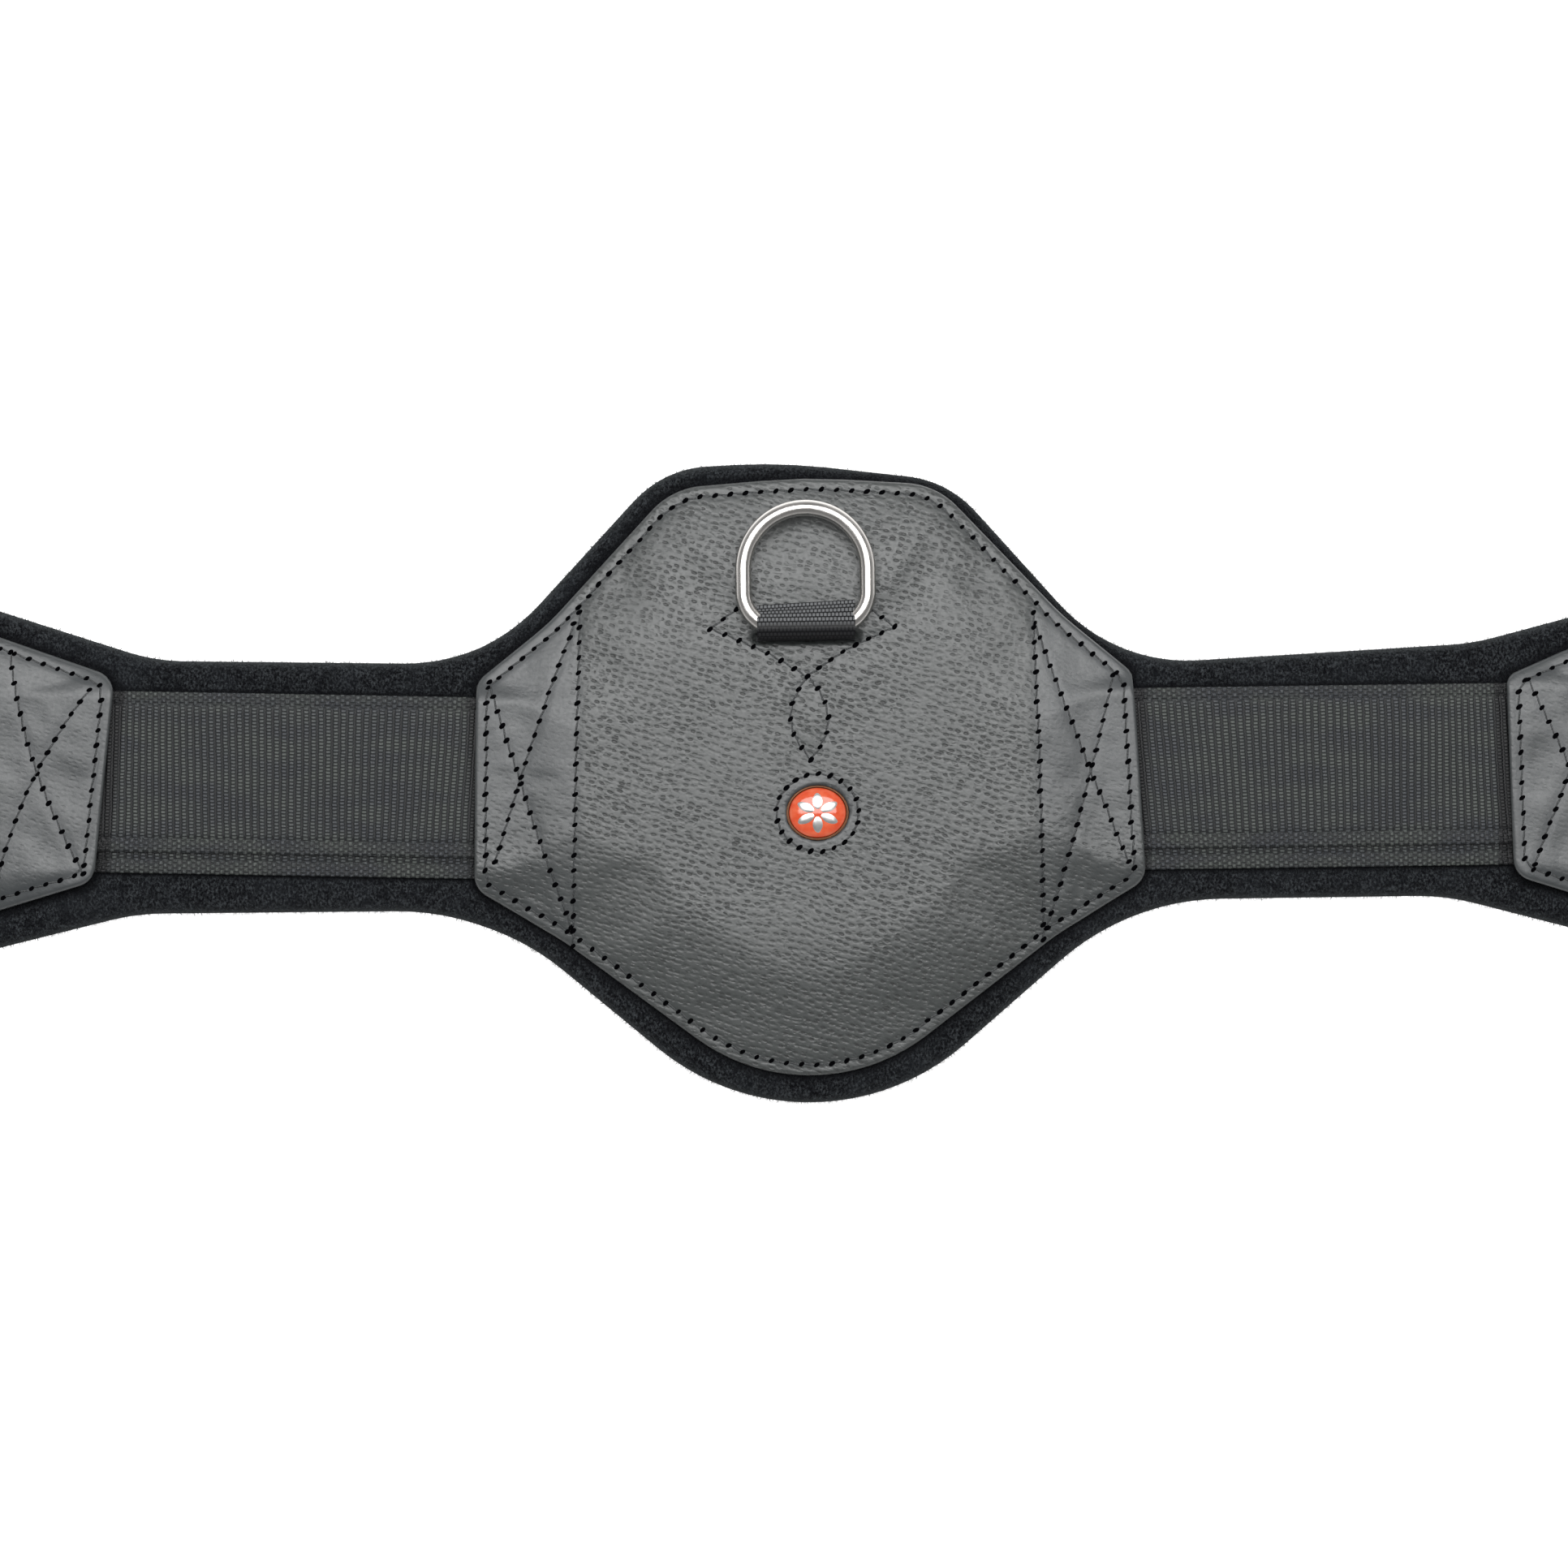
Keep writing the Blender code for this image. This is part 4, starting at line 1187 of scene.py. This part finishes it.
def elastic_pieces(name, sign, looks):
    """The elastic's two layers, and the loop of it round the buckle's bar, slit for the tongue."""
    low, high = node_box(f"{name}_elastic")
    middle = (low.y + high.y) / 2, (low.z + high.z) / 2
    half, level = (high.y - low.y) / 2, (high.z - low.z) / 2 - ELASTIC_INSET
    near, far = sorted((abs(low.x), abs(high.x)))
    xs = np.linspace(near, far, 40)
    wave = ELASTIC_WAVE * np.sin(xs * 2 * math.pi / ELASTIC_WAVE_LENGTH)
    top = np.stack([xs, level - ELASTIC_INSET + wave], 1)
    bottom = np.stack([xs, np.full_like(xs, -level)], 1)
    points, faces, values = [], [], {"along": [], "across": []}
    add_band(points, faces, values, np.vstack([bottom, top[::-1]]), -half, half, (0, *middle, sign))
    band = piece_from(f"{name}_elastic_band", points, faces, looks["elastic"], values, 50)
    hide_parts(f"{name}_elastic")
    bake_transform(band)

    circle = arc_points((0, 0), (1, 1), 140, -140, 22)
    outer, inner = (LOOP_IN + ELASTIC_THICK) * circle, LOOP_IN * circle
    points, faces, values = [], [], {"along": [], "across": []}
    place = (sign * BAR_X, *middle, sign)
    arm_end = -SLOT_TAIL - 0.2
    # Each arm is half of the loop, with the layer that runs back from it.
    inside = (arm_end, 0), (EYE_END, 0)
    upper = [*inside, *inner[:11], *outer[:11][::-1], (THROAT, level), (arm_end, level)]
    lower = [(arm_end, -level), (THROAT, -level), *outer[10:][::-1], *inner[10:], *inside[::-1]]
    for low_y, high_y in ((-half, -LOOP_SLOT), (LOOP_SLOT, half)):
        add_band(points, faces, values, upper, low_y, high_y, place)
        add_band(points, faces, values, lower, low_y, high_y, place)
    tail = [(-LOOP_TAIL, -level), (-SLOT_TAIL, -level), (-SLOT_TAIL, level), (-LOOP_TAIL, level)]
    add_band(points, faces, values, tail, -half, half, place)
    loop = piece_from(f"{name}_elastic_eye", points, faces, looks["elastic"], values, 50)
    settle(loop, f"{name}_carriage", "elastic", f"{name}_elastic_loop")


def buckle(side, sign, row, looks):
    name, steel = f"{side}_{row}", looks["steel"]
    elastic_pieces(name, sign, looks)
    low, high = node_box(f"{name}_buckle_frame")
    wire = (high.z - low.z) / 2
    (x_low, x_high), (y_low, y_high) = ((low[k] + wire, high[k] - wire) for k in (0, 1))
    corners = [
        (x, y, BUCKLE_CORNER)
        for x, y in ((x_low, y_low), (x_high, y_low), (x_high, y_high), (x_low, y_high))
    ]
    loop = wire_piece(f"{name}_buckle", outline(corners), (low.z + high.z) / 2, wire, steel)
    settle(loop, f"{name}_frame", "steel", f"{name}_buckle_frame")
    rounded_copy(f"{name}_roller", f"{name}_roller_tube", f"{name}_roller", steel, ROLLER_EDGE)
    rounded_copy(f"{name}_tongue", f"{name}_tongue_hook", f"{name}_tongue", steel, TONGUE_EDGE)


# ---------------------------------------------------------------- stage

SOFTBOX_GLOW = 5.2
SOFTBOX_SIZE = 2.0, 1.15
SOFTBOX_PLACE = 0.0, 0.54, 1.7
FLOOR_GLOW = 0.7
FLOOR_HALF = 6.0
FLOOR_DROP = 0.25  # room for both ends to fold down
# The room's light at each height, from straight down (-1) to straight up (1)
ROOM_LIGHT = ((-1.0, 0.8), (0.0, 0.85), (0.3, 0.34), (0.8, 0.18), (1.0, 0.22))


def room():
    """Even white light, dimmer part of the way up, as between a pale floor and a pale ceiling."""
    world = bpy.data.worlds.new("studio")
    world.use_nodes = True
    tree = world.node_tree
    ramp = tree.nodes.new("ShaderNodeValToRGB")
    while len(ramp.color_ramp.elements) < len(ROOM_LIGHT):
        ramp.color_ramp.elements.new(0.5)
    for element, (height, level) in zip(ramp.color_ramp.elements, ROOM_LIGHT):
        element.position = (height + 1) / 2
        element.color = (level, level, level, 1)
    place = tree.nodes.new("ShaderNodeTexCoord")
    parts = tree.nodes.new("ShaderNodeSeparateXYZ")
    share = tree.nodes.new("ShaderNodeMapRange")
    share.inputs["From Min"].default_value = -1.0
    tree.links.new(place.outputs["Generated"], parts.inputs[0])
    tree.links.new(parts.outputs["Z"], share.inputs["Value"])
    tree.links.new(share.outputs["Result"], ramp.inputs["Fac"])
    tree.links.new(ramp.outputs["Color"], tree.nodes["Background"].inputs["Color"])
    bpy.context.scene.world = world


def floor_look():
    """A pale sheet lit from behind, as on a light table."""
    look = Look(
        "pale_floor", Roughness=0.9, Specular_IOR_Level=0.1, Emission_Strength=FLOOR_GLOW,
        Emission_Color=(1, 1, 1, 1),
    )
    grain = look.noise(look.place(), 3.0, 3)
    return look.finish(Base_Color=look.mix(grain, (0.90, 0.90, 0.90), (0.92, 0.92, 0.92)))


def stage():
    plane = bpy.data.meshes.new("floor")
    corners = [(x * FLOOR_HALF, y * FLOOR_HALF, 0) for x, y in ((-1, -1), (1, -1), (1, 1), (-1, 1))]
    plane.from_pydata(corners, [], [(0, 1, 2, 3)])
    plane.materials.append(floor_look())
    floor = add_object("floor", plane)
    floor.location.z = cad_box[0][2] - FLOOR_DROP

    light = bpy.data.lights.new("softbox", "AREA")
    light.shape = "RECTANGLE"
    light.size, light.size_y = SOFTBOX_SIZE
    light.energy = SOFTBOX_GLOW * math.pi * light.size * light.size_y
    add_object("softbox", light).location = SOFTBOX_PLACE


FRAME_WIDTH = 406.7
FRAME_CENTRE_X = -6.3
CAMERA_HEIGHT = 1500.0
ROLL = math.atan(0.0141)


def camera():
    data = bpy.data.cameras.new("camera")
    data.sensor_width = 36
    data.lens = 36 * (CAMERA_HEIGHT - PLATEAU) / FRAME_WIDTH
    data.clip_end = 20
    made = add_object("camera", data)
    made.location = (FRAME_CENTRE_X * MM, 0, CAMERA_HEIGHT * MM)
    made.rotation_euler = (0, 0, -ROLL)
    bpy.context.scene.camera = made
    bpy.context.scene.view_settings.view_transform = "Standard"


def main():
    looks = {
        "leather": leather_look(),
        "felt": felt_look(),
        "fuzz": plain_look("felt_nap", (0.01, 0.011, 0.012), (0.05, 0.054, 0.056), 1.0, 300, 0.01),
        "web": web_look(),
        "tape": tape_look("ribbed_tape", (0.190, 0.196, 0.203), (0.001, 0.001, 0.002), 1.4, 1.0, 0.4),
        "elastic": tape_look(
            "woven_elastic", (0.050, 0.053, 0.057), (0.003, 0.003, 0.004), ELASTIC_WAVE_LENGTH, 1.1, 0.6
        ),
        "hidden_tape": plain_look(
            "plain_tape", (0.006, 0.006, 0.007), (0.030, 0.032, 0.035), 0.8, 700, 0.2
        ),
        "thread": thread_look(),
        "hole": hole_look(),
        "steel": metal_look("satin_nickel", (0.72, 0.695, 0.67), (0.62, 0.60, 0.575), 0.16, 0.26),
        "silver": metal_look("silver_leaf", (0.93, 0.92, 0.90), (0.85, 0.84, 0.83), 0.25, 0.4),
        "bronze": metal_look("dark_bronze", (0.16, 0.075, 0.04), (0.08, 0.04, 0.025), 0.25, 0.4),
        "resin": resin_look(),
    }
    camera()
    room()
    stage()
    centre_leather(looks)
    d_ring(looks)
    ring_tape(looks)
    badge(looks)
    for side, sign in SIDES.items():
        felt(side, sign, looks)
        webbing(side, sign, looks)
        wing_leather(side, sign, looks)
        for row in ROWS:
            buckle(side, sign, row, looks)


main()
